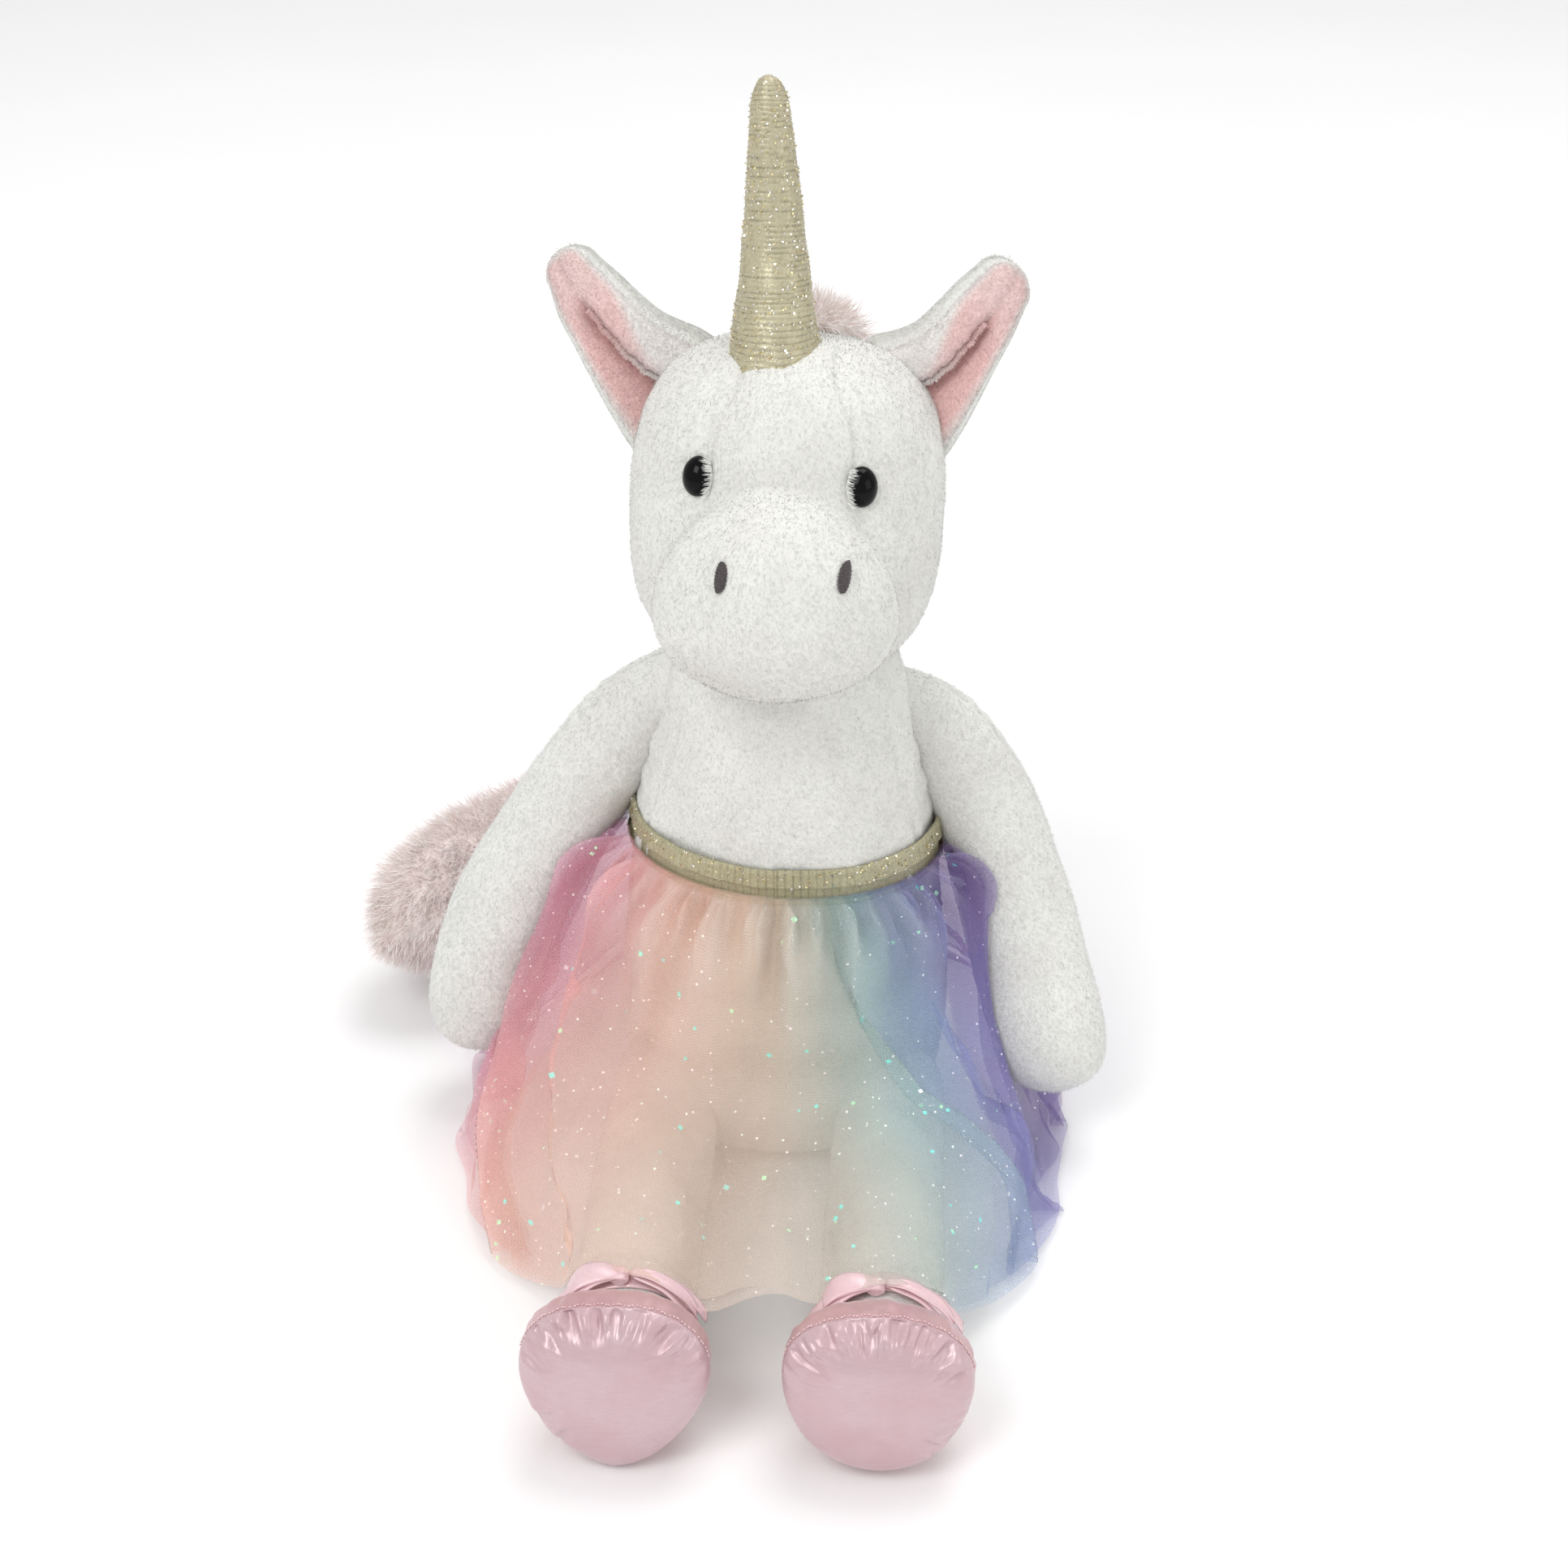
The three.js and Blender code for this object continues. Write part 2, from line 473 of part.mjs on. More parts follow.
add("skirt_outer_tulle", slab(skirtPoint(1, 2.6, 1), 44, 9, -TULLE, true), { color: 0xe6c3c0, roughness: 0.7 });
add("skirt_inner_tulle", slab(skirtPoint(0.97, 1, 0.965), 44, 9, -TULLE, true), { color: 0xead2c4, roughness: 0.7 });

// ---------------------------------------------------------------- tail, a long-pile tuft on a sewn tape
const tailPath = curve([
  TAIL_ROOT.toArray(), [-20, 72, 92], [-48, 82, 66], [-80, 76, 45], [-104, 60, 32], [-118, 48, 27],
]);
const TAIL = [[0, 3], [3, 3.6], [5, 14], [8.5, 26], [12.5, 46], [18, 75], [23, 105], [25, 128], [21, 142], [11, 150], [0, 153]];
const tailLong = tailPath.getLength();
const tailBody = warp(lathed(TAIL.map(([r, s]) => [r, (s * tailLong) / 136]), 14), (v) => {
  const over = Math.max(0, v.z - tailLong);
  const end = tailPath.getTangentAt(1);
  along(tailPath, tailLong)(v);
  v.addScaledVector(end, over);
});
const backSurface = (extra) => warp(lathed([[0, 0], ...inset(TORSO, -extra), [0, NECK_Z]], 28), lean);
add("tail_tuft", cut(tailBody, backSurface(2.2)), HAIR_PINK);
const tapeRod = lathed([[0, 0], [6, 0], [6, 60], [0, 60]], 12).rotateX(-Math.PI / 2);
tapeRod.translate(TAIL_ROOT.x, 20, TAIL_ROOT.z);
add("tail_tape", common(tapeRod, cut(backSurface(1.7), backSurface(0.4))), WHITE);

export default group;
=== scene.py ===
import math

import bpy
import numpy as np
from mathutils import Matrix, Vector


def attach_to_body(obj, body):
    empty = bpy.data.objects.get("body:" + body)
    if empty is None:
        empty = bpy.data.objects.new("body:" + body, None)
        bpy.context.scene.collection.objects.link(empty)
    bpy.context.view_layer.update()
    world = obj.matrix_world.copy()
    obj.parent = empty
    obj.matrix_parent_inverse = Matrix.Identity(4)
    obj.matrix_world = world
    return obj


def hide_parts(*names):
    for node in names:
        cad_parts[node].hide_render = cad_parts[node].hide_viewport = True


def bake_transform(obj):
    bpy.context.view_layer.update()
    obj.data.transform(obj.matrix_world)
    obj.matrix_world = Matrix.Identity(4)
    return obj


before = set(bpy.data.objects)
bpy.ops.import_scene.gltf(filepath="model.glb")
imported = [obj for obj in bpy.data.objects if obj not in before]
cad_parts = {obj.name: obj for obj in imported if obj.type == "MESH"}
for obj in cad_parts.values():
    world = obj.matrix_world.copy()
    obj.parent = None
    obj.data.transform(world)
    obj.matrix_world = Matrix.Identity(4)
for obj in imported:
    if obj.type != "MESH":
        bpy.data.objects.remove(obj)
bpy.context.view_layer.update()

# Lengths are in millimetres until a mesh is made. The toy faces -Y, its own left is +X.
MM = 0.001
rng = np.random.default_rng(11)


# ------------------------------------------------------------------ numbers and curves
def arr(x):
    return np.asarray(x, float)


def arr_i(x):
    return np.asarray(x, int)


def unit(v):
    return v / (np.linalg.norm(v, axis=-1, keepdims=True) + 1e-12)


def smooth(a, b, x):
    t = np.clip((arr(x) - a) / (b - a), 0, 1)
    return t * t * (3 - 2 * t)


def spline(points, t, closed=False):
    """Catmull-Rom through points at t from 0 to 1."""
    p = arr(points)
    n = len(p)
    s = arr(t) * (n if closed else n - 1)
    i = np.floor(s).astype(int)
    if not closed:
        i = np.clip(i, 0, n - 2)
    f = (s - i)[..., None]
    pick = (lambda k: p[k % n]) if closed else (lambda k: p[np.clip(k, 0, n - 1)])
    a, b, c, d = pick(i - 1), pick(i), pick(i + 1), pick(i + 2)
    if not closed:
        a = np.where((i == 0)[..., None], 2 * b - c, a)
        d = np.where((i == n - 2)[..., None], 2 * c - b, d)
    return b + 0.5 * f * (c - a + f * (2 * a - 5 * b + 4 * c - d + f * (3 * (b - c) + d - a)))


def run_length(fine):
    """Distance along a fine line of points."""
    return np.concatenate([[0], np.cumsum(np.linalg.norm(np.diff(fine, axis=0), axis=1))])


def even(points, count):
    """Points at even distances along the spline through points, and the spline's length."""
    fine = spline(points, np.linspace(0, 1, 600))
    run = run_length(fine)
    want = np.linspace(0, run[-1], count)
    return np.stack([np.interp(want, run, fine[:, k]) for k in range(3)], 1), run[-1]


def waves(x, y, seed, scale, octaves=3):
    """Smooth noise of two coordinates, about -1 to 1, the same each run."""
    r = np.random.default_rng(seed)
    total = 0
    for o in range(octaves):
        for _ in range(4):
            a = r.uniform(0, 2 * math.pi)
            k = 2 * math.pi / scale * (1.8**o) * r.uniform(0.7, 1.3)
            total = total + np.sin(k * (x * math.cos(a) + y * math.sin(a)) + r.uniform(0,
                    6.3)) * 0.5 / (1.7**o)
    return total / 1.7


def lumps(p, seed, scale):
    """Smooth noise of a place in space."""
    r = np.random.default_rng(seed)
    total = 0
    for _ in range(7):
        k = unit(r.normal(size=3)) * 2 * math.pi / scale * r.uniform(0.6, 1.5)
        total = total + np.sin(p @ k + r.uniform(0, 6.3))
    return total / 3.5


# ------------------------------------------------------------------ meshes
def ring_face(columns, rows, row):
    """One row of points round a wrapped grid, as the corners of a face that closes it."""
    return list(range(row, columns * rows, rows))


def around_axis(count):
    """Angles round an axis, as a column."""
    return np.linspace(0, 2 * math.pi, count, endpoint=False)[:, None]


def grid(nu, nv, wrap=False):
    """Quads for points laid out as nu columns of nv."""
    i, j = np.meshgrid(np.arange(nu if wrap else nu - 1), np.arange(nv - 1), indexing="ij")
    at = lambda a, b: (a % nu) * nv + b
    return np.stack([at(i, j), at(i + 1, j), at(i + 1, j + 1), at(i, j + 1)], -1).reshape(-1, 4)


def build(name, verts, faces, materials, slots=None, shade=True, normals=None, uv=None, tint=None):
    """A mesh object from points in millimetres and one array of faces or a list of them."""
    faces = [faces] if isinstance(faces, np.ndarray) else faces
    groups = [np.atleast_2d(arr_i(g)) for g in faces]
    me = bpy.data.meshes.new(name)
    co = (arr(verts) * MM).astype(np.float32)
    me.vertices.add(len(co))
    me.vertices.foreach_set("co", co.ravel())
    loops = np.concatenate([g.ravel() for g in groups]).astype(np.int32)
    sizes = np.concatenate([np.full(len(g), g.shape[1]) for g in groups])
    me.loops.add(len(loops))
    me.loops.foreach_set("vertex_index", loops)
    me.polygons.add(len(sizes))
    me.polygons.foreach_set("loop_start", np.concatenate([[0], np.cumsum(sizes)[:-1]]).astype(np.int32))
    me.polygons.foreach_set("use_smooth", np.full(len(sizes), shade))
    if slots is not None:
        me.polygons.foreach_set("material_index", arr_i(slots).astype(np.int32))
    me.update(calc_edges=True)
    for m in materials if isinstance(materials, (list, tuple)) else [materials]:
        me.materials.append(m)
    if uv is not None:
        layer = me.uv_layers.new(name="cloth")
        layer.data.foreach_set("uv", arr(uv)[loops].astype(np.float32).ravel())
    if tint is not None:
        colours = me.color_attributes.new("tint", "FLOAT_COLOR", "POINT")
        colours.data.foreach_set("color", np.c_[arr(tint), np.ones(len(co))].astype(np.float32).ravel())
    if normals is not None:
        me.normals_split_custom_set_from_vertices(arr(normals).tolist())
    obj = bpy.data.objects.new(name, me)
    bpy.context.scene.collection.objects.link(obj)
    return obj


def facing(verts, faces):
    """Vertex normals of a quad or triangle mesh."""
    v, f = arr(verts), arr_i(faces)
    n = np.cross(v[f[:, 2]] - v[f[:, 0]], v[f[:, -1]] - v[f[:, 1]])
    out = np.zeros_like(v)
    for k in range(f.shape[1]):
        np.add.at(out, f[:, k], n)
    return unit(out)


def attach(obj, body=None, bend=None, replaces=()):
    """Hides the parts a finished piece stands for and parents it to the body it follows; a piece given a bend
    only has its placement baked into its points.
    """
    if replaces:
        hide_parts(*replaces)
    if bend:
        a, b, start, end = bend
        arr(start) * MM
        arr(end) * MM
        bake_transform(obj)
    else:
        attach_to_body(obj, body)
    return obj


def tube(path, radius, around, flat=1.0, up=(0, -1, 0), turn=0.0, shape=None):
    """Closed skin round a path of even points. radius is a list along it. Ends close to a point."""
    p = arr(path)
    t = unit(np.gradient(p, axis=0))
    side = unit(np.cross(t, arr(up)))
    deep = np.cross(side, t)
    a = np.linspace(0, 2 * math.pi, around, endpoint=False) + turn
    r = arr(radius)[None, :]
    x, y = np.cos(a)[:, None] * r, np.sin(a)[:, None] * r * flat
    if shape is not None:
        k = shape(a[:, None], np.linspace(0, 1, len(p))[None, :])
        x, y = x * k, y * k
    v = p[None] + side[None] * x[..., None] + deep[None] * y[..., None]
    return v.reshape(-1, 3), grid(around, len(p), wrap=True)


# ------------------------------------------------------------------ materials
def srgb(r, g, b):
    f = lambda c: c / 12.92 if c <= 0.04045 else ((c + 0.055) / 1.055) ** 2.4
    return (f(r / 255), f(g / 255), f(b / 255), 1)


class Nodes:
    """A Principled material and short ways to wire its nodes."""

    def __init__(self, name, **sockets):
        self.mat = bpy.data.materials.new(name)
        self.mat.use_nodes = True
        self.tree = self.mat.node_tree
        self.shader = self.tree.nodes["Principled BSDF"]
        for k, v in sockets.items():
            self.shader.inputs[k.replace("_", " ")].default_value = v

    def add(self, kind, links=(), **values):
        n = self.tree.nodes.new("ShaderNode" + kind)
        for k, v in values.items():
            if k[0].isupper():
                n.inputs[k.replace("_", " ")].default_value = v
            else:
                setattr(n, k, v)
        for socket, source in dict(links).items():
            self.tree.links.new(source, n.inputs[socket])
        return n

    def ramp(self, source, stops, interpolation="LINEAR"):
        n = self.add("ValToRGB", {"Fac": source})
        n.color_ramp.interpolation = interpolation
        e = n.color_ramp.elements
        while len(e) < len(stops):
            e.new(0.5)
        for k, (pos, colour) in enumerate(stops):
            e[k].position, e[k].color = pos, colour
        return n.outputs["Color"]

    def mix(self, fac, a, b, kind="MIX"):
        n = self.add("Mix", data_type="RGBA", blend_type=kind)
        for socket, value in ((n.inputs[0], fac), (n.inputs[6], a), (n.inputs[7], b)):
            if isinstance(value, (int, float)) or isinstance(value, tuple):
                socket.default_value = value
            else:
                self.tree.links.new(value, socket)
        return n.outputs[2]

    def link(self, source, socket):
        self.tree.links.new(source, self.shader.inputs[socket])

    def bump(self, height, strength, distance, normal=None):
        n = self.add("Bump", {"Height": height}, Strength=strength, Distance=distance)
        if normal is not None:
            self.tree.links.new(normal, n.inputs["Normal"])
        self.link(n.outputs["Normal"], "Normal")
        return n.outputs["Normal"]

    def coords(self, which="Object"):
        return self.add("TexCoord").outputs[which]


def grey(v, a=1):
    return (v, v, v, a)


def plush(name, colour, shade, pile=0.5):
    """Short pile: the colour varies in soft patches and the surface is finely broken up."""
    m = Nodes(name, Roughness=0.95, Sheen_Weight=0.35, Sheen_Roughness=0.45)
    at = m.coords()
    patch = m.add("TexNoise", {"Vector": at}, Scale=38.0, Detail=3.0, Roughness=0.6)
    fine = m.add("TexNoise", {"Vector": at}, Scale=900.0, Detail=3.0, Roughness=0.7)
    tone = m.ramp(patch.outputs["Fac"], [(0.3, shade), (0.62, colour)])
    grain = m.ramp(fine.outputs["Fac"], [(0.3, grey(0.86)), (0.6, grey(1.0))])
    m.link(m.mix(0.8, tone, grain, "MULTIPLY"), "Base Color")
    lay = m.add("TexNoise", {"Vector": at}, Scale=210.0, Detail=2.0, Roughness=0.5)
    first = m.add("Bump", {"Height": lay.outputs["Fac"]}, Strength=0.35, Distance=0.0012)
    m.bump(fine.outputs["Fac"], pile, 0.0006, first.outputs["Normal"])
    return m.mat


def plain(name, colour, **sockets):
    return Nodes(name, Base_Color=colour, **sockets).mat


def plain_set(name, colours, glow=0.0, **sockets):
    """The same plain material in several colours. glow is how strongly each gives off its own colour."""
    made = []
    for k, c in enumerate(colours):
        light_up = {"Emission_Color": srgb(*c), "Emission_Strength": glow} if glow else {}
        made.append(plain(f"{name} {k}", srgb(*c), **sockets, **light_up))
    return made


def satin(name, colour, shade, gloss=0.33):
    """Satin weave: fine diagonal floats, soft colour drift and a broad shine."""
    m = Nodes(name, Roughness=gloss, Specular_IOR_Level=0.9, Metallic=0.12, Sheen_Weight=0.15,
              Sheen_Roughness=0.3)
    at = m.coords()
    drift = m.add("TexNoise", {"Vector": at}, Scale=70.0, Detail=3.0)
    weft = m.add("TexNoise", {"Vector": m.add("Mapping", {"Vector": at}, Scale=(1.0, 1.0,
            9.0)).outputs["Vector"]}, Scale=260.0, Detail=2.0)
    tone = m.ramp(drift.outputs["Fac"], [(0.32, shade), (0.66, colour)])
    m.link(m.mix(1.0, tone, m.ramp(weft.outputs["Fac"], [(0.3, grey(0.93)), (0.7, grey(1.0))]),
                 "MULTIPLY"), "Base Color")
    rough = m.ramp(drift.outputs["Fac"], [(0.3, grey(gloss + 0.09)), (0.7, grey(gloss - 0.05))])
    m.link(rough, "Roughness")
    turned = m.add("Mapping", {"Vector": at}, Rotation=(0.3, 0.6, 0.8))
    weave = m.add("TexWave", {"Vector": turned.outputs["Vector"]}, Scale=620.0, Distortion=1.2,
                  Detail=1.0)
    m.bump(weave.outputs["Fac"], 0.12, 0.0001)
    return m.mat


def lurex(name):
    """Knitted gold and silver thread: small loops with bright specks between duller ones."""
    m = Nodes(name, Metallic=0.3, Roughness=0.48)
    at = m.coords()
    cells = m.add("TexVoronoi", {"Vector": at}, Scale=1700.0)
    # the cells vary in tone at random, and the brightest go above white as painted glints
    glint = m.ramp(cells.outputs["Color"], [(0.0, grey(0.80)), (0.6, grey(0.95)), (0.9, grey(1.0)),
                                            (0.97, grey(1.25))])
    base = m.add("Attribute", attribute_name="tint").outputs["Color"]
    m.link(m.mix(1.0, base, glint, "MULTIPLY"), "Base Color")
    m.link(m.ramp(cells.outputs["Color"], [(0.2, grey(0.6)), (0.8, grey(0.3))]), "Roughness")
    loops = m.add("TexNoise", {"Vector": at}, Scale=1500.0, Detail=2.0)
    m.bump(loops.outputs["Fac"], 0.5, 0.0003)
    return m.mat


WHITE = plush("white plush", srgb(236, 236, 231), srgb(227, 226, 221))
WHITE_PILE = plain_set(
    "white pile", [(240, 240, 236), (231, 231, 226), (246, 246, 243)], Roughness=0.9, Sheen_Weight=0.3
)


def tinted(name, shade):
    """Pink lining whose colour fades to white at its edges, by the tint it carries, which on the ear's lining
    also holds painted shade along the crease.
    """
    m = Nodes(name, Roughness=0.92, Sheen_Weight=0.3, Sheen_Roughness=0.5)
    dye = m.add("Attribute", attribute_name="tint").outputs["Color"]
    cloud = m.add("TexNoise", {"Vector": m.coords()}, Scale=420.0, Detail=3.0)
    m.link(m.mix(1.0, dye, m.ramp(cloud.outputs["Fac"], [(0.3, grey(shade - 0.06)), (0.7, grey(shade))]),
                 "MULTIPLY"), "Base Color")
    m.bump(cloud.outputs["Fac"], 0.35, 0.0006)
    return m.mat


LINING = tinted("pink lining", 0.98)
LINING_PILE = [tinted("pink pile 0", 1.0), tinted("pink pile 1", 0.94)]
HAIR = plain_set(
    "tuft hair", [(247, 238, 236), (243, 226, 223), (250, 245, 243), (240, 232, 226)],
    Roughness=0.7, Sheen_Weight=0.3,
)
ROOTS = plush("tuft backing", srgb(250, 240, 237), srgb(243, 229, 225))
SATIN = satin("pink satin", srgb(206, 178, 184), srgb(202, 168, 174), 0.28)
SATIN_DEEP = satin("deep pink satin", srgb(206, 166, 168), srgb(194, 150, 154), 0.36)
RIBBON = satin("ribbon satin", srgb(238, 208, 211), srgb(230, 194, 199), 0.36)
GOLD_HORN = lurex("horn lurex")
GOLD_BAND = lurex("band lurex")
FLECKS = [
    plain("fleck silver", srgb(250, 248, 240), Metallic=1.0, Roughness=0.18),
    plain("fleck gold", srgb(236, 220, 170), Metallic=1.0, Roughness=0.22),
    plain("fleck mint", srgb(160, 250, 225), Metallic=0.8, Roughness=0.15),
    plain("fleck rose", srgb(250, 205, 225), Metallic=0.8, Roughness=0.18),
]
# their glow is painted sparkle: the specks give off light of their own
GLITTER = plain_set(
    "tulle glitter", [(255, 252, 246), (236, 255, 246), (255, 240, 246)], glow=0.45, Roughness=0.3
)
# the cyan and green sequins glow: painted sparkle, light of their own
SEQUINS = [
    plain("sequin cyan", srgb(96, 232, 220), Roughness=0.2, Emission_Color=srgb(70, 226, 214),
          Emission_Strength=0.5),
    plain("sequin green", srgb(190, 250, 200), Roughness=0.2, Emission_Color=srgb(180, 250, 200),
          Emission_Strength=0.4),
    plain("sequin white", srgb(244, 246, 250), Metallic=0.85, Roughness=0.2),
]


def thread_material():
    m = Nodes("grey thread", Roughness=0.6, Sheen_Weight=0.2)
    n = m.add("TexNoise", {"Vector": m.coords()}, Scale=2600.0, Detail=1.0)
    m.link(m.ramp(n.outputs["Fac"], [(0.3, srgb(50, 44, 46)), (0.7, srgb(88, 78, 79))]), "Base Color")
    m.bump(n.outputs["Fac"], 0.4, 0.0002)
    return m.mat


def eye_material():
    m = Nodes("eye", Roughness=0.07, Specular_IOR_Level=0.14)
    n = m.add("TexNoise", {"Vector": m.coords()}, Scale=120.0, Detail=2.0)
    m.link(m.ramp(n.outputs["Fac"], [(0.3, srgb(6, 5, 7)), (0.8, srgb(16, 13, 14))]), "Base Color")
    return m.mat


THREAD = thread_material()
EYE_BLACK = eye_material()


# ------------------------------------------------------------------ pile, strands and flecks
SCATTERED = {}


def scatter(obj, count, keep=None):
    """Random places on a mesh with their normals, in millimetres, even by area. Notes a vertex near each."""
    me = obj.data
    me.calc_loop_triangles()
    co = np.empty(len(me.vertices) * 3, np.float32)
    me.vertices.foreach_get("co", co)
    co = co.reshape(-1, 3) / MM
    nn = np.empty(len(me.vertices) * 3, np.float32)
    me.vertex_normals.foreach_get("vector", nn)
    nn = nn.reshape(-1, 3)
    tri = np.empty(len(me.loop_triangles) * 3, np.int32)
    me.loop_triangles.foreach_get("vertices", tri)
    tri = tri.reshape(-1, 3)
    a, b, c = co[tri[:, 0]], co[tri[:, 1]], co[tri[:, 2]]
    area = np.linalg.norm(np.cross(b - a, c - a), axis=1)
    if keep is not None:
        area = area * keep((a + b + c) / 3)
    pick = rng.choice(len(tri), count, p=area / area.sum())
    s, t = rng.random(count), rng.random(count)
    flip = s + t > 1
    s[flip], t[flip] = 1 - s[flip], 1 - t[flip]
    w = np.stack([1 - s - t, s, t], 1)[..., None]
    SCATTERED[obj.name] = tri[pick, 0]
    return (co[tri[pick]] * w).sum(1), unit((nn[tri[pick]] * w).sum(1))


def pile(name, obj, count, length, materials, comb=(0, 0, -1), lean=1.35, width=0.24, keep=None,
         clear=None):
    """Short hairs on a piece, as its own piece. They are lit like the cloth that they stand on."""
    p, n = scatter(obj, count, keep)
    tint = None
    if "tint" in obj.data.color_attributes:
        colour = np.empty(len(obj.data.vertices) * 4, np.float32)
        obj.data.color_attributes["tint"].data.foreach_get("color", colour)
        tint = np.repeat(colour.reshape(-1, 4)[SCATTERED[obj.name], :3], 3, 0)
    if clear is not None:
        ok = clear(p)
        p, n = p[ok], n[ok]
        count = len(p)
    c = arr(comb)
    flow = unit(c - n * (n @ c)[:, None] + rng.normal(0, 0.3, (count, 3)))
    d = unit(n + flow * lean + rng.normal(0, 0.15, (count, 3)))
    side = unit(np.cross(d, n + rng.normal(0, 0.12, (count, 3)))) * width / 2
    long = (length * rng.uniform(0.55, 1.2, count))[:, None]
    base = p - n * 0.15
    v = np.stack([base - side, base + side, base + d * long], 1).reshape(-1, 3)
    return build(
        name, v, np.arange(count * 3).reshape(-1, 3), materials,
        slots=rng.integers(0, len(materials), count), normals=np.repeat(unit(n + d * 0.25), 3,
                0), tint=tint,
    )


def strands(name, root, aim, length, materials, curl=0.3, width=0.5, steps=5, droop=0.0, face=None,
            tint=None):
    """Long soft hairs as thin curved blades that narrow to their tips."""
    count = len(root)
    d = unit(arr(aim) + rng.normal(0, 0.16, (count, 3)))
    bend = unit(rng.normal(size=(count, 3))) * curl
    side = unit(np.cross(d, rng.normal(size=(count, 3)) * (1.0 if face is None else 0.35)
                         + (0 if face is None else arr(face))))
    p = arr(root).copy()
    long = (length * rng.uniform(0.55, 1.15, count)) if np.ndim(length) == 0 else length
    rows = []
    for k in range(steps + 1):
        f = k / steps
        w = (width * (1 - f) ** 0.7 * 0.5) * side
        rows.append(np.stack([p - w, p + w], 1) if k < steps else p[:, None])
        wave = bend * math.sin(2.2 * math.pi * f + 0.6) * 0.55
        d = unit(d + (bend + wave) * (1 / steps) * 1.3 + arr([0, 0, -droop]) / steps)
        p = p + d * (long / steps)[:, None]
    v = np.concatenate(rows, 1)
    per = v.shape[1]
    quads = arr_i([[2 * k, 2 * k + 1, 2 * k + 3, 2 * k + 2] for k in range(steps - 1)])
    tip = arr_i([[2 * steps - 2, 2 * steps - 1, 2 * steps]])
    start = (np.arange(count) * per)[:, None, None]
    q, t = (quads[None] + start).reshape(-1, 4), (tip[None] + start).reshape(-1, 3)
    shade = rng.integers(0, len(materials), count)
    tint = None if tint is None else np.repeat(tint, per, 0)
    return build(name, v.reshape(-1, 3), [q, t], materials,
                 slots=np.concatenate([np.repeat(shade, steps - 1), shade]), tint=tint)


def fleck_quads(p, n, size, spread):
    """Small bright flakes at places p, each tilted its own way."""
    count = len(p)
    tilt = unit(n + rng.normal(0, spread, (count, 3)))
    a = unit(np.cross(tilt, rng.normal(size=(count, 3))))
    b = np.cross(tilt, a)
    s = (size * rng.uniform(0.6, 1.3, count))[:, None] / 2
    return np.stack([p - a * s - b * s, p + a * s - b * s, p + a * s + b * s, p - a * s + b * s],
                    1).reshape(-1, 3)


def flecks(name, obj, count, size, materials, spread=0.5, keep=None, lift=0.25):
    p, n = scatter(obj, count, keep)
    v = fleck_quads(p + n * lift, n, size, spread)
    return build(
        name, v, np.arange(count * 4).reshape(-1, 4), materials,
        slots=rng.integers(0, len(materials), count), shade=False,
    )


# ------------------------------------------------------------------ camera, floor and light
AIM = (0, 0, 0.115)  # what the camera looks at
AZIMUTH, ELEVATION, AWAY, LENS = 3.5, 30, 0.760, 56.65
LAMPS_AIM = (0, -0.02, 0.12)


def camera():
    azimuth, elevation = math.radians(AZIMUTH), math.radians(ELEVATION)
    back = Vector(
        (math.sin(azimuth) * math.cos(elevation), -math.cos(azimuth) * math.cos(elevation),
         math.sin(elevation))
    )
    cam = bpy.data.objects.new("camera", bpy.data.cameras.new("camera"))
    cam.data.sensor_width = 36.0
    cam.data.lens = LENS
    cam.location = Vector(AIM) + back * AWAY
    cam.rotation_mode = "QUATERNION"
    cam.rotation_quaternion = (-back).to_track_quat("-Z", "Y")
    cam.data.clip_start, cam.data.clip_end = 0.02, 50
    bpy.context.scene.collection.objects.link(cam)
    bpy.context.scene.camera = cam


def light(name, at, size, watts, colour=(1, 1, 1)):
    lamp = bpy.data.lights.new(name, "AREA")
    lamp.size, lamp.energy, lamp.color = size, watts, colour
    o = bpy.data.objects.new(name, lamp)
    o.location = at
    o.rotation_mode = "QUATERNION"
    o.rotation_quaternion = (Vector(LAMPS_AIM) - Vector(at)).to_track_quat("-Z", "Y")
    bpy.context.scene.collection.objects.link(o)


def studio():
    m = Nodes("floor", Roughness=0.85)
    n = m.add("TexNoise", {"Vector": m.coords()}, Scale=3.0, Detail=2.0)
    m.link(m.ramp(n.outputs["Fac"], [(0.3, srgb(251, 251, 251)), (0.7, srgb(253, 253, 253))]),
           "Base Color")
    reach, under = 12000, -0.6
    corners = [(-reach, -reach, under), (reach, -reach, under), (reach, reach, under),
               (-reach, reach, under)]
    floor = build("floor", corners, [[0, 1, 2, 3]], m.mat)
    world = bpy.data.worlds.new("studio")
    world.use_nodes = True
    world.node_tree.nodes["Background"].inputs["Color"].default_value = (1, 1, 1, 1)
    world.node_tree.nodes["Background"].inputs["Strength"].default_value = 0.64
    bpy.context.scene.world = world
    light("key", (-1.0, -1.5, 2.2), 1.3, 26)
    light("fill", (1.9, -1.2, 1.1), 1.4, 7)
    light("top", (0.3, 0.7, 2.1), 1.2, 16)
    bpy.context.scene.view_settings.view_transform = "Standard"


camera()
studio()

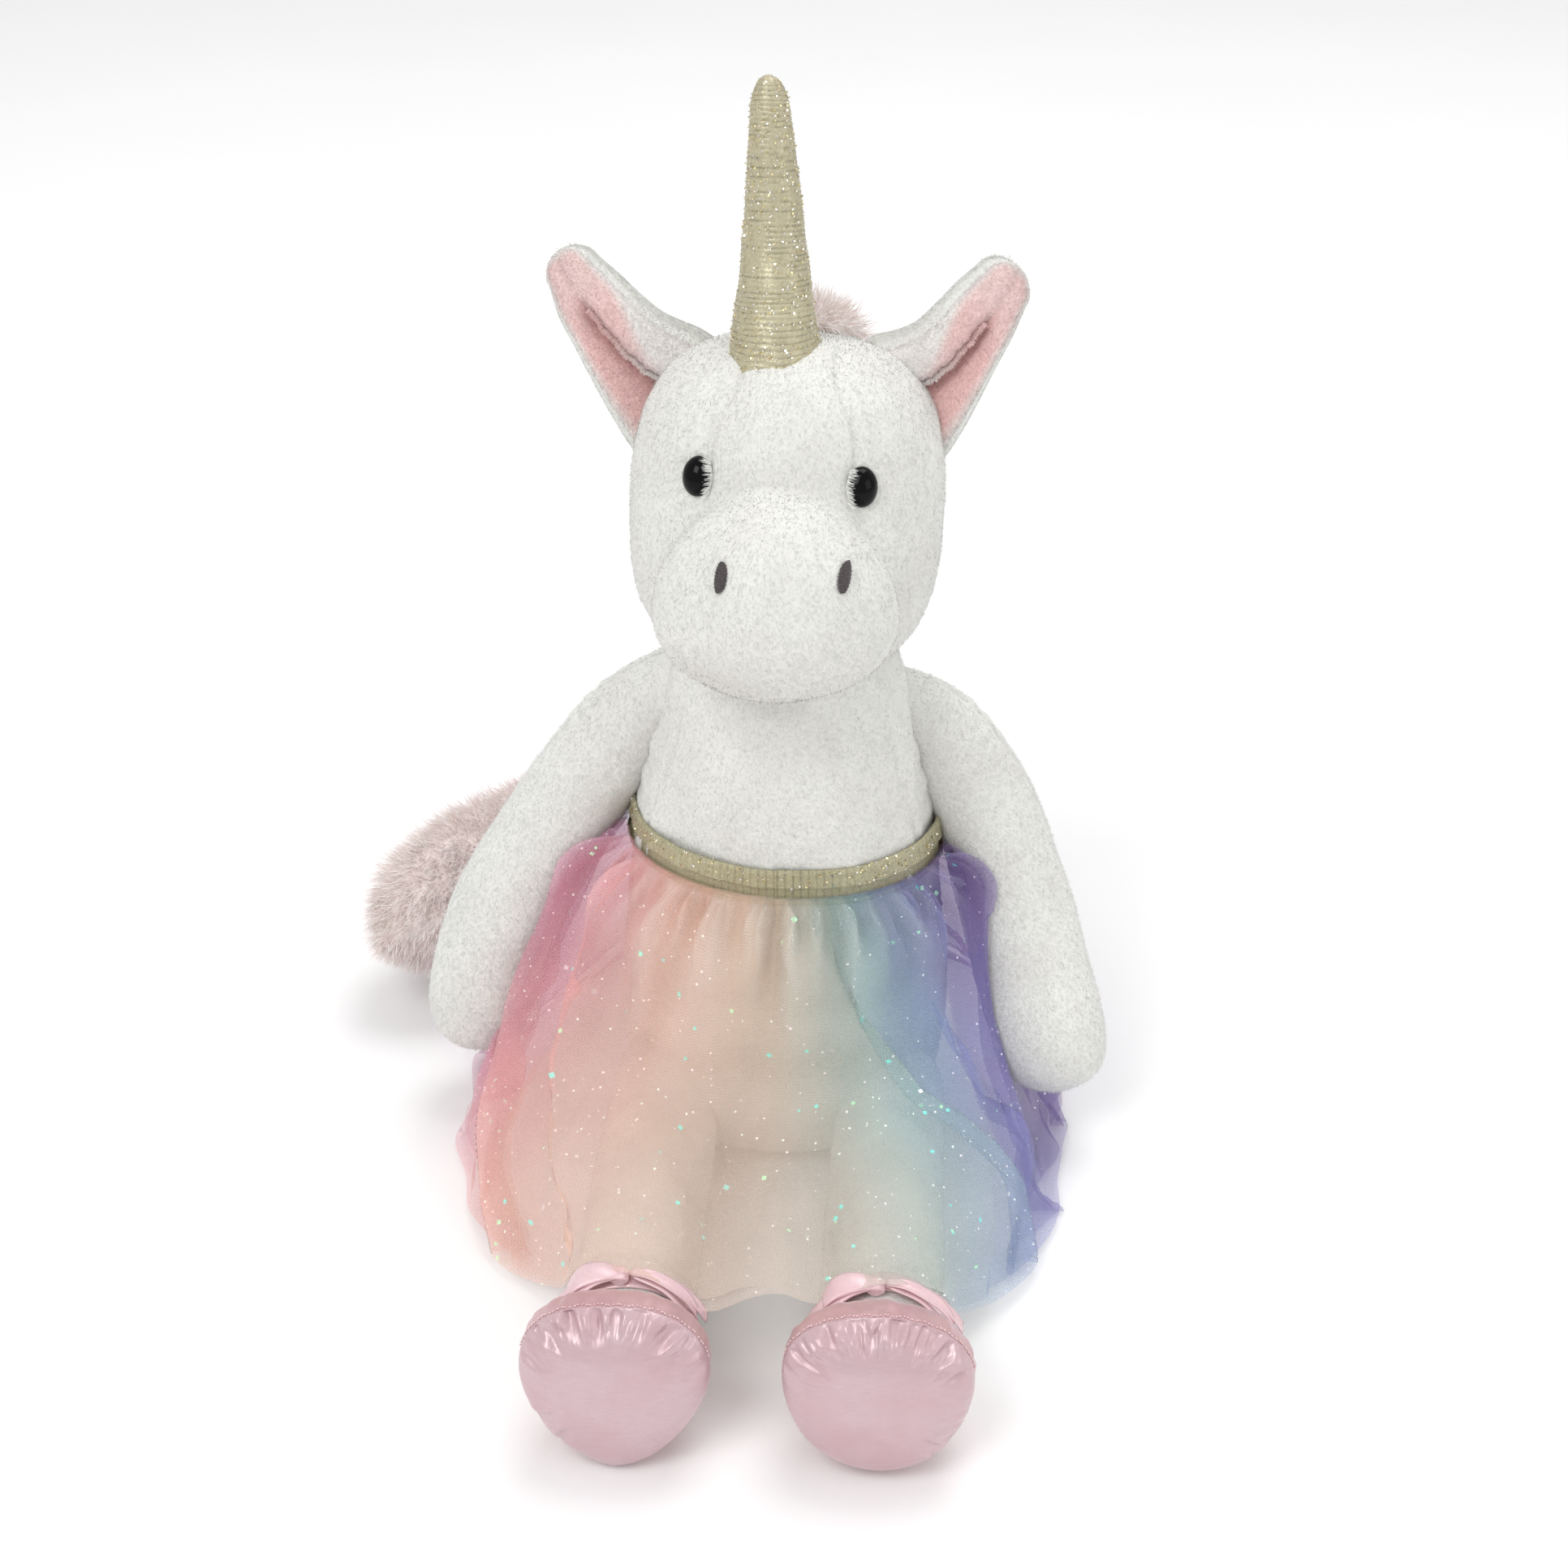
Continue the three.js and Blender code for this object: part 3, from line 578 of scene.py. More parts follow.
# ------------------------------------------------------------------ where the head is
LEAN = math.tan(math.radians(5))
NECK_Z = 143  # the middle of the round top of the neck
NECK = arr([0, NECK_Z * LEAN, NECK_Z])
NECK_RADIUS = 36.5
HEAD_OFFSET = arr([0, -13, 54])
PITCH, ROLL = math.radians(-15), math.radians(2)
RX = arr([[1, 0, 0], [0, math.cos(PITCH), -math.sin(PITCH)], [0, math.sin(PITCH), math.cos(PITCH)]])
RY = arr([[math.cos(ROLL), 0, math.sin(ROLL)], [0, 1, 0], [-math.sin(ROLL), 0, math.cos(ROLL)]])


def head_place(p):
    """From the head's own frame to the row frame."""
    return (arr(p) @ RY.T + HEAD_OFFSET) @ RX.T + NECK


def head_turn(d):
    return arr(d) @ RY.T @ RX.T


def head_back(p):
    """From the row frame to the head's own frame."""
    return ((arr(p) - NECK) @ RX - HEAD_OFFSET) @ RY


# ------------------------------------------------------------------ body
TORSO = [
    (38, 0), (46, 5), (50.5, 16), (52, 36), (51, 60), (49, 82), (47, 98), (45, 112), (41.8, 125), (38.6,
            137),
]
TORSO += [
    (NECK_RADIUS * math.sin(a), NECK_Z + NECK_RADIUS * math.cos(a)) for a in map(math.radians,
            (76, 60, 40, 18))
]


def torso_depth(z):
    return 0.85 + 0.15 * smooth(90, 132, z)


def torso_point(angle, r, z):
    """angle is 0 at the front and grows towards the toy's left."""
    z = arr(z)
    return np.stack(
        [np.sin(angle) * r + 0 * z, -np.cos(angle) * r * torso_depth(z) + np.minimum(z, NECK_Z) * LEAN, z
         + 0 * angle], -1
    )


def torso_radius(z):
    rows = arr(TORSO)
    return np.interp(z, rows[:, 1], rows[:, 0])


def make_body():
    rows = spline([(r, z, 0) for r, z in TORSO], np.linspace(0, 1, 110))
    rows[:, 1] = np.maximum(rows[:, 1], 0)
    floor = [(r, 0, 0) for r in np.linspace(0.5, 37, 10)]
    rows = np.concatenate([floor, rows])
    around = 168
    a = around_axis(around)
    r, z = rows[None, :, 0], rows[None, :, 1]
    high = smooth(8, 30, z)
    seam_at = math.radians(64) - 0.16 * smooth(90, 150, z)
    groove = 0
    for s in (seam_at, -seam_at, math.pi + 0 * z):
        off = np.abs((a - s + math.pi) % (2 * math.pi) - math.pi) * r
        groove = groove + np.exp(-((off / 1.3) ** 2)) * 1.1 - np.exp(-((off / 5.0) ** 2)) * 0.5
    soft = waves(a * 40, z, 3, 42) * 0.7 + waves(a * 40, z, 4, 17, 2) * 0.25
    pull = np.exp(-(((a - math.radians(95)) / 0.35) ** 2)) + np.exp(-(((a - math.radians(265))
            / 0.35) ** 2))
    pull = pull * np.exp(-(((z - 118) / 16) ** 2)) * np.sin(z * 0.55 + 3 * np.cos(a)) * 0.7
    v = torso_point(a, r + high * (soft - groove + pull) * (1 - smooth(150, 172, z)), z)
    v[..., 1] -= 9.5 * np.exp(-(((z - 27) / 20) ** 2)) * smooth(0.3, 0.95, np.cos(a))
    v = v.reshape(-1, 3)
    n = len(rows)
    caps = [ring_face(around, n, 0)[::-1], ring_face(around, n, n - 1)]
    o = build("body_plush", v, [grid(around, n, True)] + [arr_i([c]) for c in caps], WHITE)
    attach(o, "torso", replaces=("torso_skin", "torso_stuffing", "seat_pellet_bag",
                                                "tail_tape"))
    show = lambda p: np.where(p[:, 2] > 20, np.where(p[:, 2] > 88, 1.0, 0.35), 0.0) * (p[:, 2] < 166)
    f = pile("body_pile", o, 52000, 1.25, WHITE_PILE, keep=show)
    attach(f, "torso")
    return o


# ------------------------------------------------------------------ head
MUZZLE = [((0, -40, -9), (27.5, 28.5, 22)), ((0, -38.5, -22.5), (35, 29.5, 24))]


def egg(p, centre, radii):
    q = (p - arr(centre)) / arr(radii)
    return (np.sqrt((q**2).sum(-1)) - 1) * (sum(radii) / 3)


def melt(a, b, k):
    h = np.clip(0.5 + 0.5 * (b - a) / k, 0, 1)
    return b + (a - b) * h - k * h * (1 - h)


def head_form(p):
    """Below zero inside the head."""
    x, y, z = p[..., 0] / 46.4, p[..., 1] / 43.2, (p[..., 2] - 3) / 51
    e = 2.7
    skull = (((x * x + y * y) ** (e / 2) + np.abs(z) ** e) ** (1 / e) - 1) * 46
    muzzle = melt(egg(p, *MUZZLE[0]), egg(p, *MUZZLE[1]), 12)
    return melt(skull, muzzle, 4.2)


HEAD_CENTRE = arr([0, -12, 0])


def head_surface(direction, seams=True):
    """The head's surface, in its own frame, along directions from its centre."""
    d = unit(arr(direction))
    near, far = np.zeros(d.shape[:-1]), np.full(d.shape[:-1], 90.0)
    for _ in range(26):
        mid = (near + far) / 2
        inside = head_form(HEAD_CENTRE + d * mid[..., None]) < 0
        near, far = np.where(inside, mid, near), np.where(inside, far, mid)
    p = HEAD_CENTRE + d * near[..., None]
    if not seams:
        return p
    x, y, z = p[..., 0], p[..., 1], p[..., 2]
    front = smooth(-4, -14, y)
    groove = 0
    # the two seams from the horn down to the eyes, and the one down the middle of the muzzle
    for side in (1, -1):
        line = side * (13.5 + 7.5 * smooth(48, 24, z))
        groove = groove + np.exp(-(((x - line) / 1.3) ** 2)) * smooth(16, 26, z) * 1.25
        groove = groove - np.exp(-(((x - line * 0.55) / 8) ** 2)) * smooth(12, 30, z) * 0.35
    groove = groove + np.exp(-((x / 1.4) ** 2)) * smooth(-3, -14, z) * smooth(-48, -40, z) * 0.75
    back_seam = np.exp(-((x / 1.4) ** 2)) * smooth(8, 20, y) * 0.8
    # eye dimples
    dimple = 0
    for side in (1, -1):
        q = np.hypot(x - side * 22.4, z - 15)
        dimple = dimple + np.exp(-((q / 8) ** 2)) * 1.5 * smooth(-10, -20, y)
    soft = lumps(p, 5, 34) * 0.45 + lumps(p, 6, 14) * 0.16
    return p + d * (soft - groove * front - dimple - back_seam)[..., None]


def sphere_mesh(level):
    """A ball of even triangles: directions and faces."""
    import bmesh

    bm = bmesh.new()
    bmesh.ops.create_icosphere(bm, subdivisions=level, radius=1.0)
    v = np.array([x.co for x in bm.verts])
    f = np.array([[x.index for x in g.verts] for g in bm.faces])
    bm.free()
    return v, f


def front_of(x, z):
    """The head's surface straight ahead of (x, z) in its own frame, and its normal."""
    near, far = -90.0, -12.0
    for _ in range(40):
        mid = (near + far) / 2
        if head_form(arr([x, mid, z])) > 0:
            near = mid
        else:
            far = mid
    p = arr([x, near, z])
    e = 0.2
    n = unit(arr([head_form(p + arr(s) * e) - head_form(p - arr(s) * e) for s in np.eye(3)]))
    return p, n


EYES = {1: front_of(22.8, 15.3), -1: front_of(-24.2, 15.5)}


def make_head():
    d, f = sphere_mesh(7)
    p = head_surface(d)
    o = build("head_plush", head_place(p), f, WHITE)
    attach(
        o, "head",
        replaces=("head_skin", "head_stuffing", "muzzle_skin", "muzzle_stuffing", "left_eye_washer",
                  "right_eye_washer"),
    )

    def clear(q):
        local = head_back(q)
        ok = np.ones(len(q), bool)
        for side in (1, -1):
            ok &= np.linalg.norm(local - EYES[side][0], axis=1) > 5.0
        return ok

    down = head_turn((0, -0.25, -1))
    f = pile("head_pile", o, 74000, 1.3, WHITE_PILE, comb=down, clear=clear)
    attach(f, "head")


def make_eyes():
    for name, side in (("left", 1), ("right", -1)):
        p, n = EYES[side]
        n = unit(n + arr([side * 0.12, -0.35, 0.10]))
        rows = [(0, -4), (4.1, -3.6), (5.3, -1.2), (5.45, 0.1)]
        rows += [(5.45 * math.cos(t), 0.1 + 4.1 * math.sin(t))
                 for t in np.linspace(0.12, math.pi / 2 - 0.02, 16)]
        rows = arr(rows)
        a = np.linspace(0, 2 * math.pi, 56, endpoint=False)[:, None]
        u = unit(np.cross(n, (0, 0, 1)))
        w = np.cross(u, n)
        v = (
            p - n * 1.2 + u * (np.cos(a) * rows[None, :, 0])[..., None] * 0.85
            + w * (np.sin(a) * rows[None, :, 0])[..., None] * 1.06 + n * rows[None, :, 1][..., None]
        )
        count = len(rows)
        last = [ring_face(56, count, count - 1)]
        first = [ring_face(56, count, 0)[::-1]]
        o = build(f"{name}_eye_dome", head_place(v.reshape(-1, 3)), [grid(56, count, True), last, first],
                  EYE_BLACK)
        attach(o, "head", replaces=(f"{name}_eye",))
        # the pile laps over the dome on the side of the nose
        count = 190
        h = rng.uniform(-1, 1, count)
        root = p + arr([-side * 4.9, -1.2, 0]) + np.stack([side * np.abs(h) * 1.0, 0 * h, h * 4.8], 1)
        aim = arr([side * 1.0, -0.85, 0]) + np.stack([0 * h, 0 * h, h * 0.45 - 0.1], 1)
        o = strands(f"{name}_eye_fringe", head_place(root), head_turn(unit(aim)),
                    rng.uniform(2.0, 3.7, count), WHITE_PILE,
                    curl=0.15, width=0.34, steps=3, face=head_turn(n))
        attach(o, "head")


def make_nostrils():
    """Satin stitch: short threads laid side by side over a slanted oval."""
    for name, side in (("left", 1), ("right", -1)):
        tilt = math.radians(5)
        rows, faces, n = [], [], 0
        lines = 19
        for k in range(lines):
            h = (k / (lines - 1) - 0.5) * 7.6
            half = 1.75 * math.sqrt(max(0.03, 1 - (h / 4.1) ** 2)) * (1 + 0.08 * math.sin(k * 2.7))
            pts = []
            for s in np.linspace(-1, 1, 9):
                x = s * half * math.cos(tilt) + h * math.sin(tilt) * 0.8
                z = h * math.cos(tilt) + 0.12 * s
                c, m = front_of(side * 16.6 + 2.9 + x, z - (7.6 if side < 0 else 6.2))
                pts.append(c + m * (0.1 + 0.9 * (1 - s * s) ** 0.5))
            v, g = tube(pts, np.full(9, 0.3) * arr([0.4, 0.8, 1, 1, 1, 1, 1, 0.8, 0.4]), 6)
            rows.append(v)
            faces.append(g + n)
            n += len(v)
        o = build(f"{name}_nostril_stitch", head_place(np.concatenate(rows)), np.concatenate(faces),
                  THREAD)
        attach(o, "head", replaces=(f"{name}_nostril",))


# ------------------------------------------------------------------ horn
HORN = [(14.9, -11), (14.6, -6), (13.9, 0), (12.3, 6), (11.2, 13), (10.0, 21), (8.6, 34.6), (7.2, 50.3),
        (5.7, 65), (4.8, 71), (3.1, 75.4), (0.3, 77)]


def make_horn():
    t = np.linspace(0, 1, 340)
    rows = spline([(r, z, 0) for r, z in HORN], t)
    around = 88
    a = around_axis(around)
    r, z = rows[None, :, 0], rows[None, :, 1]
    drift = 1.2 * waves(a * 9, z, 9, 30, 2)
    ribs = np.abs(np.sin((z + drift * 0.35) * math.pi / 1.35)) ** 0.7
    ragged = smooth(9, -8, z) * (0.5 * np.sin(a * 9 + 1) + 0.35 * np.sin(a * 17)) + 0.3 * waves(a * 12,
            z, 8, 26)
    rr = r + (ribs * 0.34 - 0.12) * smooth(76, 70, z) + ragged
    zz = z + smooth(6, -3, z) * 0.9 * np.sin(a * 7 + 2)
    bend = 1.6 * (z / 77) ** 2
    x, y = np.cos(a) * rr - bend, np.sin(a) * rr - 8.0 * smooth(38, -4, z)
    zz = zz + np.sin(a) * 3.2 * smooth(16, -4, z)
    tilt, side = math.radians(5), math.radians(-3)
    y, zz = y * math.cos(tilt) - zz * math.sin(tilt), y * math.sin(tilt) + zz * math.cos(tilt)
    x, zz = x * math.cos(side) + zz * math.sin(side), -x * math.sin(side) + zz * math.cos(side)
    p = np.stack([x - 5.0, y - 9, zz + 48.5], -1).reshape(-1, 3)
    n = rows.shape[0]
    caps = [ring_face(around, n, n - 1), ring_face(around, n, 0)[::-1]]
    dash = waves(a * 30, z * 0.5, 12, 7, 3)
    # painted shade: the gold darkens in the grooves between the ribs, and dash and the fine stripes vary the
    # thread at random
    shade = 0.62 + 0.38 * smooth(0.0, 0.55, ribs + 0.12 * dash) * (0.9 + 0.1
            * np.sin(a * 44 + 9 * np.sin(z * 3)))
    tint = (arr(srgb(200, 192, 162)[:3]) * shade[..., None] * (1 + 0.05 * dash[..., None])).reshape(-1, 3)
    o = build("horn_knit", head_place(p), [grid(around, n, True)] + [arr_i([c]) for c in caps],
              GOLD_HORN, tint=tint)
    attach(o, "head", replaces=("horn_cover", "horn_stuffing"))
    g = flecks("horn_glitter", o, 2600, 0.46, FLECKS[:2], spread=0.5)
    attach(g, "head")


# ------------------------------------------------------------------ ears
EARS = {
    "right": (
        [(42, 4, 12), (48, 1.5, 20), (52.5, 0, 27), (58, -1, 36), (63.5, -1, 45.5), (69, 0, 54.5),
         (72.3, 1.5, 62.5)],
        [(20, 4, 46), (28, 2, 51.5), (34, 1, 54), (40, 0, 56.8), (46.3, 0, 61.5), (52.5, 1, 66.8),
         (59.3, 2, 72)],
    ),
    "left": (
        [(40, 4, 14), (46, 1.5, 22.5), (50.5, 0, 30.8), (54, -1, 38.5), (58, -1, 47.5), (62, 0, 56),
         (65.3, 1.5, 64.5)],
        [(16, 4, 47), (23, 2, 52.6), (29.5, 1, 55), (35, 0, 58), (40.7, 0, 63.9), (45.7, 1, 69.8),
         (51.3, 2, 75.2)],
    ),
}
# the ear lining's white, its pink, and a darker pink that is painted shade in the crease
EAR_WHITE, EAR_PINK, EAR_CREASE_SHADE = arr(srgb(240, 236, 232)[:3]), arr(srgb(241, 199, 196)[:3]), arr(srgb(222,
        158, 153)[:3])


def make_ear(name, side):
    """A folded ear: the upper half rolls over a crease, and the lining fades to white at its edges."""
    rows, turns = 72, 13
    s = np.linspace(0, 1, rows)
    low, high = (spline(line, s) for line in EARS[name])
    chord = high - low
    wide = np.linalg.norm(chord, axis=1, keepdims=True)
    back = unit(arr([0, 1, 0]) - chord * (chord[:, 1:2] / wide**2))
    open_ = smooth(0.90, 0.66, s)[:, None]
    crease = (0.53 - 0.20 * s)[:, None]
    deep = (5.4 - 2.0 * s)[:, None] * open_
    lip = 1.2 + 3.0 * open_
    puff = (3.0 * np.sqrt(np.clip(1 - ((s - 0.45) / 0.6) ** 2, 0.05, 1)))[:, None]
    wobble = (0.010 * np.sin(s * 41) + 0.006 * np.sin(s * 97))[:, None] * open_

    def front(q, off):
        """The inside: q runs from the lower edge to the crease at 0.5 and over the fold to the upper edge."""
        if q < 0.5:
            k = q / 0.5
            at = crease * k + 0.035 * open_ * smooth(0.8, 1.0, k)
            depth = deep * k**1.5 - 1.3 * (1 - open_) * math.sin(math.pi * q) - 0.8 * math.sin(math.pi
                    * k)
        else:
            k = (q - 0.5) / 0.5
            over = math.exp(-((k / 0.10) ** 2))
            at = crease + (1 - crease) * k - (0.022
                                              + wobble) * open_ * math.exp(-(((k - 0.07)
                                                      / 0.09) ** 2)) + 0.035 * open_ * over
            depth = deep * over - lip * math.sin(math.pi * min(1, k + 0.05)) ** 0.7 * (1
                    - over) - 1.3 * (1 - open_) * math.sin(math.pi * q)
        return low + chord * at + back * (depth + off)

    def behind(t):
        hollow = deep * np.exp(-(((t - crease) / 0.30) ** 2))
        return low + chord * t + back * (hollow + 2.0 + puff * math.sin(math.pi * min(max(t, 0), 1)))

    def close(loop, turn, tip, off):
        """Rows that shrink to a broad round tip."""
        v = np.stack(loop)
        middle = (low[-1] + high[-1]) / 2 + back[-1] * off
        on = unit(low[-1] + high[-1] - low[-6] - high[-6])
        end = v[:, -1:]
        k = np.linspace(0.11, 1.5, turns)
        tips = middle + (end - middle) * np.cos(k)[None, :, None] + on * (tip * np.sin(k))[None, :, None]
        v = np.concatenate([v, tips], 1)
        v[..., 0] *= side
        n, m = v.shape[:2]
        faces = grid(n, m, True)
        caps = [ring_face(n, m, 0), ring_face(n, m, m - 1)[::-1]]
        if turn:
            faces, caps = faces[:, ::-1], [c[::-1] for c in caps]
        return head_place(v.reshape(-1, 3)), [faces] + [arr_i([c]) for c in caps]

    inner = np.concatenate([np.linspace(0, 0.42, 14), np.linspace(0.44, 0.60, 22),
                            np.linspace(0.62, 1, 16)])
    loop = [behind(t) for t in np.linspace(-0.01, 1.0, 26)]
    loop += [low + chord * 1.035 + back * 1.4, low + chord * 1.04 + back * 0.3]
    loop += [front(q, 0.9) for q in inner[::-1]]
    loop.append(low - chord * 0.03 + back * 1.4)
    verts, faces = close(loop, side > 0, 7.6, 1.2)
    o = build(f"{name}_ear_plush", verts, faces, WHITE)
    bend = ("head", f"{name}_ear", head_place((side * 33, 4, 38)), head_place((side * 42, 2, 46)))
    attach(o, bend=bend, replaces=(f"{name}_ear_back",))
    comb = head_turn((side, 0, 1))
    fuzz = pile(f"{name}_ear_pile", o, 24000, 2.3, WHITE_PILE, comb=comb, lean=0.95)
    attach(fuzz, bend=bend)

    path = [q for q in inner if 0.03 < q < 0.90]
    tints, loop = [], []
    tall = np.concatenate([s, np.ones(turns)])
    rim = np.concatenate([0 * s, np.linspace(0.1, 1, turns)])
    # the pink fades to white at the edges, and crease_shade paints shade along the crease, stronger on the
    # lower flap
    for q in path:
        edge = min(1, (q - 0.03) / 0.05, (0.90 - q) / 0.05)
        loop.append(front(q, 0.75 - 0.75 * max(0, edge)))
        if q < 0.5:
            k = q / 0.5
            pink = smooth(0.0, 0.34, k) + 0 * tall
            crease_shade = smooth(0.60, 0.97, k) * smooth(0.92, 0.72, tall)
        else:
            k = (q - 0.5) / 0.5
            reach = 0.06 + 0.50 * smooth(0.25, 0.85, tall)
            pink = (0.30 + 0.62 * smooth(0.15, 0.75, tall)) * smooth(reach + 0.26, reach, k)
            crease_shade = smooth(0.07, 0.0, k) * smooth(0.92, 0.72, tall)
        pink = pink * (0.72 + 0.28 * smooth(0.95, 0.6, tall)) * smooth(0.95, 0.45, rim)
        c = EAR_WHITE + (EAR_PINK - EAR_WHITE) * pink[:, None]
        tints.append(c + (EAR_CREASE_SHADE - c) * (crease_shade * (0.5 if q < 0.5 else 0.1))[:, None])
    under = [front(q, 0.78) for q in path[::-1]]
    verts, faces = close(loop + under, side < 0, 6.6, 0.35)
    tint = np.stack(tints + tints[::-1]).reshape(-1, 3)
    o = build(f"{name}_ear_inside", verts, faces, LINING, tint=tint)
    attach(o, bend=bend, replaces=(f"{name}_ear_lining",))
    fuzz = pile(f"{name}_ear_inside_pile", o, 26000, 2.0, LINING_PILE, comb=comb, lean=1.0)
    attach(fuzz, bend=bend)

    # longer hairs hang from the fold over the crease
    count = 1500
    k = rng.integers(2, int(rows * 0.78), count)
    edge = front(0.548, -0.5)[k]
    aim = -unit(chord)[k] * 1.0 - back[k] * 0.35 + rng.normal(0, 0.22, (count, 3))
    ahead = -back[k] + unit(chord)[k] * 0.35
    for q in (edge, aim, ahead):
        q[:, 0] *= side
    colour = EAR_WHITE + (EAR_PINK - EAR_WHITE) * smooth(0.2, 0.75, s[k])[:, None] * 0.8
    o = strands(
        f"{name}_ear_fold_hair", head_place(edge), head_turn(unit(aim)), 1.9 * rng.uniform(0.5, 1.2,
                count), LINING_PILE,
        curl=0.2, width=0.34, steps=3, face=head_turn(unit(ahead)), tint=colour,
    )
    attach(o, bend=bend)


# ------------------------------------------------------------------ mane and tail
def make_mane():
    line, _ = even([(1, 8, 52), (1, 20, 53), (1, 32, 45), (0, 43, 28), (0, 45, 4), (0, 40, -18),
                    (0, 36, -28)], 120)
    share = np.linspace(0, 1, 120)
    d = unit(line - HEAD_CENTRE)
    middle = head_surface(d, seams=False) + d * 2.0
    thick = np.interp(share, [0, 0.05, 0.2, 0.5, 1],
                      [10, 16, 18, 12, 8]) * np.sqrt(np.clip(1 - (2 * share - 1) ** 8, 0.01, 1))
    lean = arr([0, 0, -1.0]) + d * 0.2
    v, f = tube(head_place(middle), thick, 28, flat=0.48, up=head_turn(d), shape=lambda a, s: 1 + 0.07
                * waves(a * 9, s * 90, 17, 16))
    ends = [ring_face(28, 120, 0), ring_face(28, 120, 119)[::-1]]
    o = build("mane_backing", v, [f[:, ::-1]] + [arr_i([c]) for c in ends], ROOTS)
    attach(o, "head", replaces=("mane",))
    count = 11000
    p, n = scatter(o, count)
    out = head_turn(d)[np.argmin(((p[:, None] - head_place(middle)[None, ::6]) ** 2).sum(-1), axis=1) * 6]
    down = head_turn(unit(lean))[0]
    aim = unit(n + out * 0.35 + down * 0.45)
    o = strands(
        "mane_hair", p - n * 0.8, aim, rng.uniform(4.5, 9, count), HAIR, curl=0.35, width=0.42, steps=4,
        droop=0.25, face=unit(n + arr([0, 0, 0.5])),
    )
    attach(o, "head")


TAIL_PATH = [(-2, 52, 112), (-20, 81, 96), (-52, 97, 72), (-90, 86, 48), (-117, 58, 35), (-139, 32, 30)]


def make_tail():
    path, _ = even(TAIL_PATH, 120)
    share = np.linspace(0, 1, 120)
    core_r = np.interp(share, [0, 0.1, 0.35, 0.6, 0.8, 0.93, 1], [3, 4, 6, 12, 23, 18, 0.5])
    core_r = np.convolve(np.pad(core_r, 3, mode="edge"), np.ones(7) / 7, "valid")
    v, f = tube(path, core_r, 40, up=(0, 0, 1), shape=lambda a, s: 1 + 0.06
                * waves(a * 20, s * 110, 19, 24))
    v[:, 2] = np.maximum(v[:, 2], 0.8)
    ends = [ring_face(40, 120, 0), ring_face(40, 120, 119)[::-1]]
    o = build("tail_backing", v, [f[:, ::-1]] + [arr_i([c]) for c in ends], ROOTS)
    attach(o, "tail", replaces=("tail_tuft",))
    count = 26000
    p, n = scatter(o, count)
    flow = unit(path[-1] - path[-30])
    aim = unit(n + flow * 0.5 + arr([0, 0, -0.1]))
    o = strands(
        "tail_hair", p - n * 0.8, aim, rng.uniform(4.0, 9.0, count), HAIR, curl=0.35, width=0.40, steps=4,
        droop=0.15, face=unit(n + arr([0, 0, 0.5])),
    )
    me = o.data
    co = np.empty(len(me.vertices) * 3, np.float32)
    me.vertices.foreach_get("co", co)
    co = co.reshape(-1, 3)
    co[:, 2] = np.maximum(co[:, 2], 0.0004 + 0.02 * np.maximum(0, -co[:, 2]))
    me.vertices.foreach_set("co", co.ravel())
    attach(o, "tail")


# ------------------------------------------------------------------ arms and legs
ARMS = {
    "left": [(24, 14, 141), (36, 14.5, 137), (49, 14.5, 125.5), (61.5, 13, 104), (70.5, 7, 80),
             (78, -3, 57), (85, -15, 37), (88.5, -22, 18)],
    "right": [(-24, 13, 147), (-36, 13, 142), (-50, 14, 127), (-67, 11, 102), (-83, 4, 77),
              (-93, -2, 54), (-97, -5, 36), (-95.5, -6.5, 17)],
}


def make_arm(name, side):
    rows = 130
    path, long = even(ARMS[name], rows)
    share = np.linspace(0, 1, rows)
    r = np.interp(share, [0, 0.08, 0.2, 0.42, 0.66, 0.84, 1], [9, 11.0, 14.6, 16.9, 17.9, 18.0, 17.4])
    end = long * (1 - share)
    r = r * np.sqrt(np.clip(1 - np.clip(1 - end / 17.5, 0, 1) ** 2.3, 0.0004, 1))
    r = np.convolve(np.pad(r, 3, mode="edge"), np.ones(7) / 7, "valid") * smooth(0, 2.5, end + 0.4)

    def shape(a, s):
        groove = 0
        for at in (0.0, math.pi):
            off = np.abs((a - at + math.pi) % (2 * math.pi) - math.pi) * 17
            groove = groove + np.exp(-((off / 1.5) ** 2)) * 0.045
        crease = 0.012 * np.sin(s * 150 + 3 * np.cos(a)) * np.exp(-(((s - 0.2) / 0.07) ** 2)) * (1 - side
                * np.cos(a))
        return 1 - groove * smooth(1, 0.93, s) + 0.03 * waves(a * 16, s * 120, 21 + side, 50) - crease

    v, f = tube(path, r, 96, flat=0.9, shape=shape)
    n = rows
    ends = [ring_face(96, n, 0), ring_face(96, n, n - 1)[::-1]]
    o = build(f"{name}_arm_plush", v, [f[:, ::-1]] + [arr_i([c]) for c in ends], WHITE)
    bend = ("torso", f"{name}_arm", (side * 38, 14, 138), (side * 56, 14, 118))
    attach(o, bend=bend, replaces=(f"{name}_arm_skin", f"{name}_arm_stuffing"))
    show = lambda p: (np.abs(p[:, 0]) > 38) * 1.0
    attach(pile(f"{name}_arm_pile", o, 34000, 1.3, WHITE_PILE, keep=show), bend=bend)


LEG_X, LEG_R, LEG_Z = 35.25, 17.0, 18.8


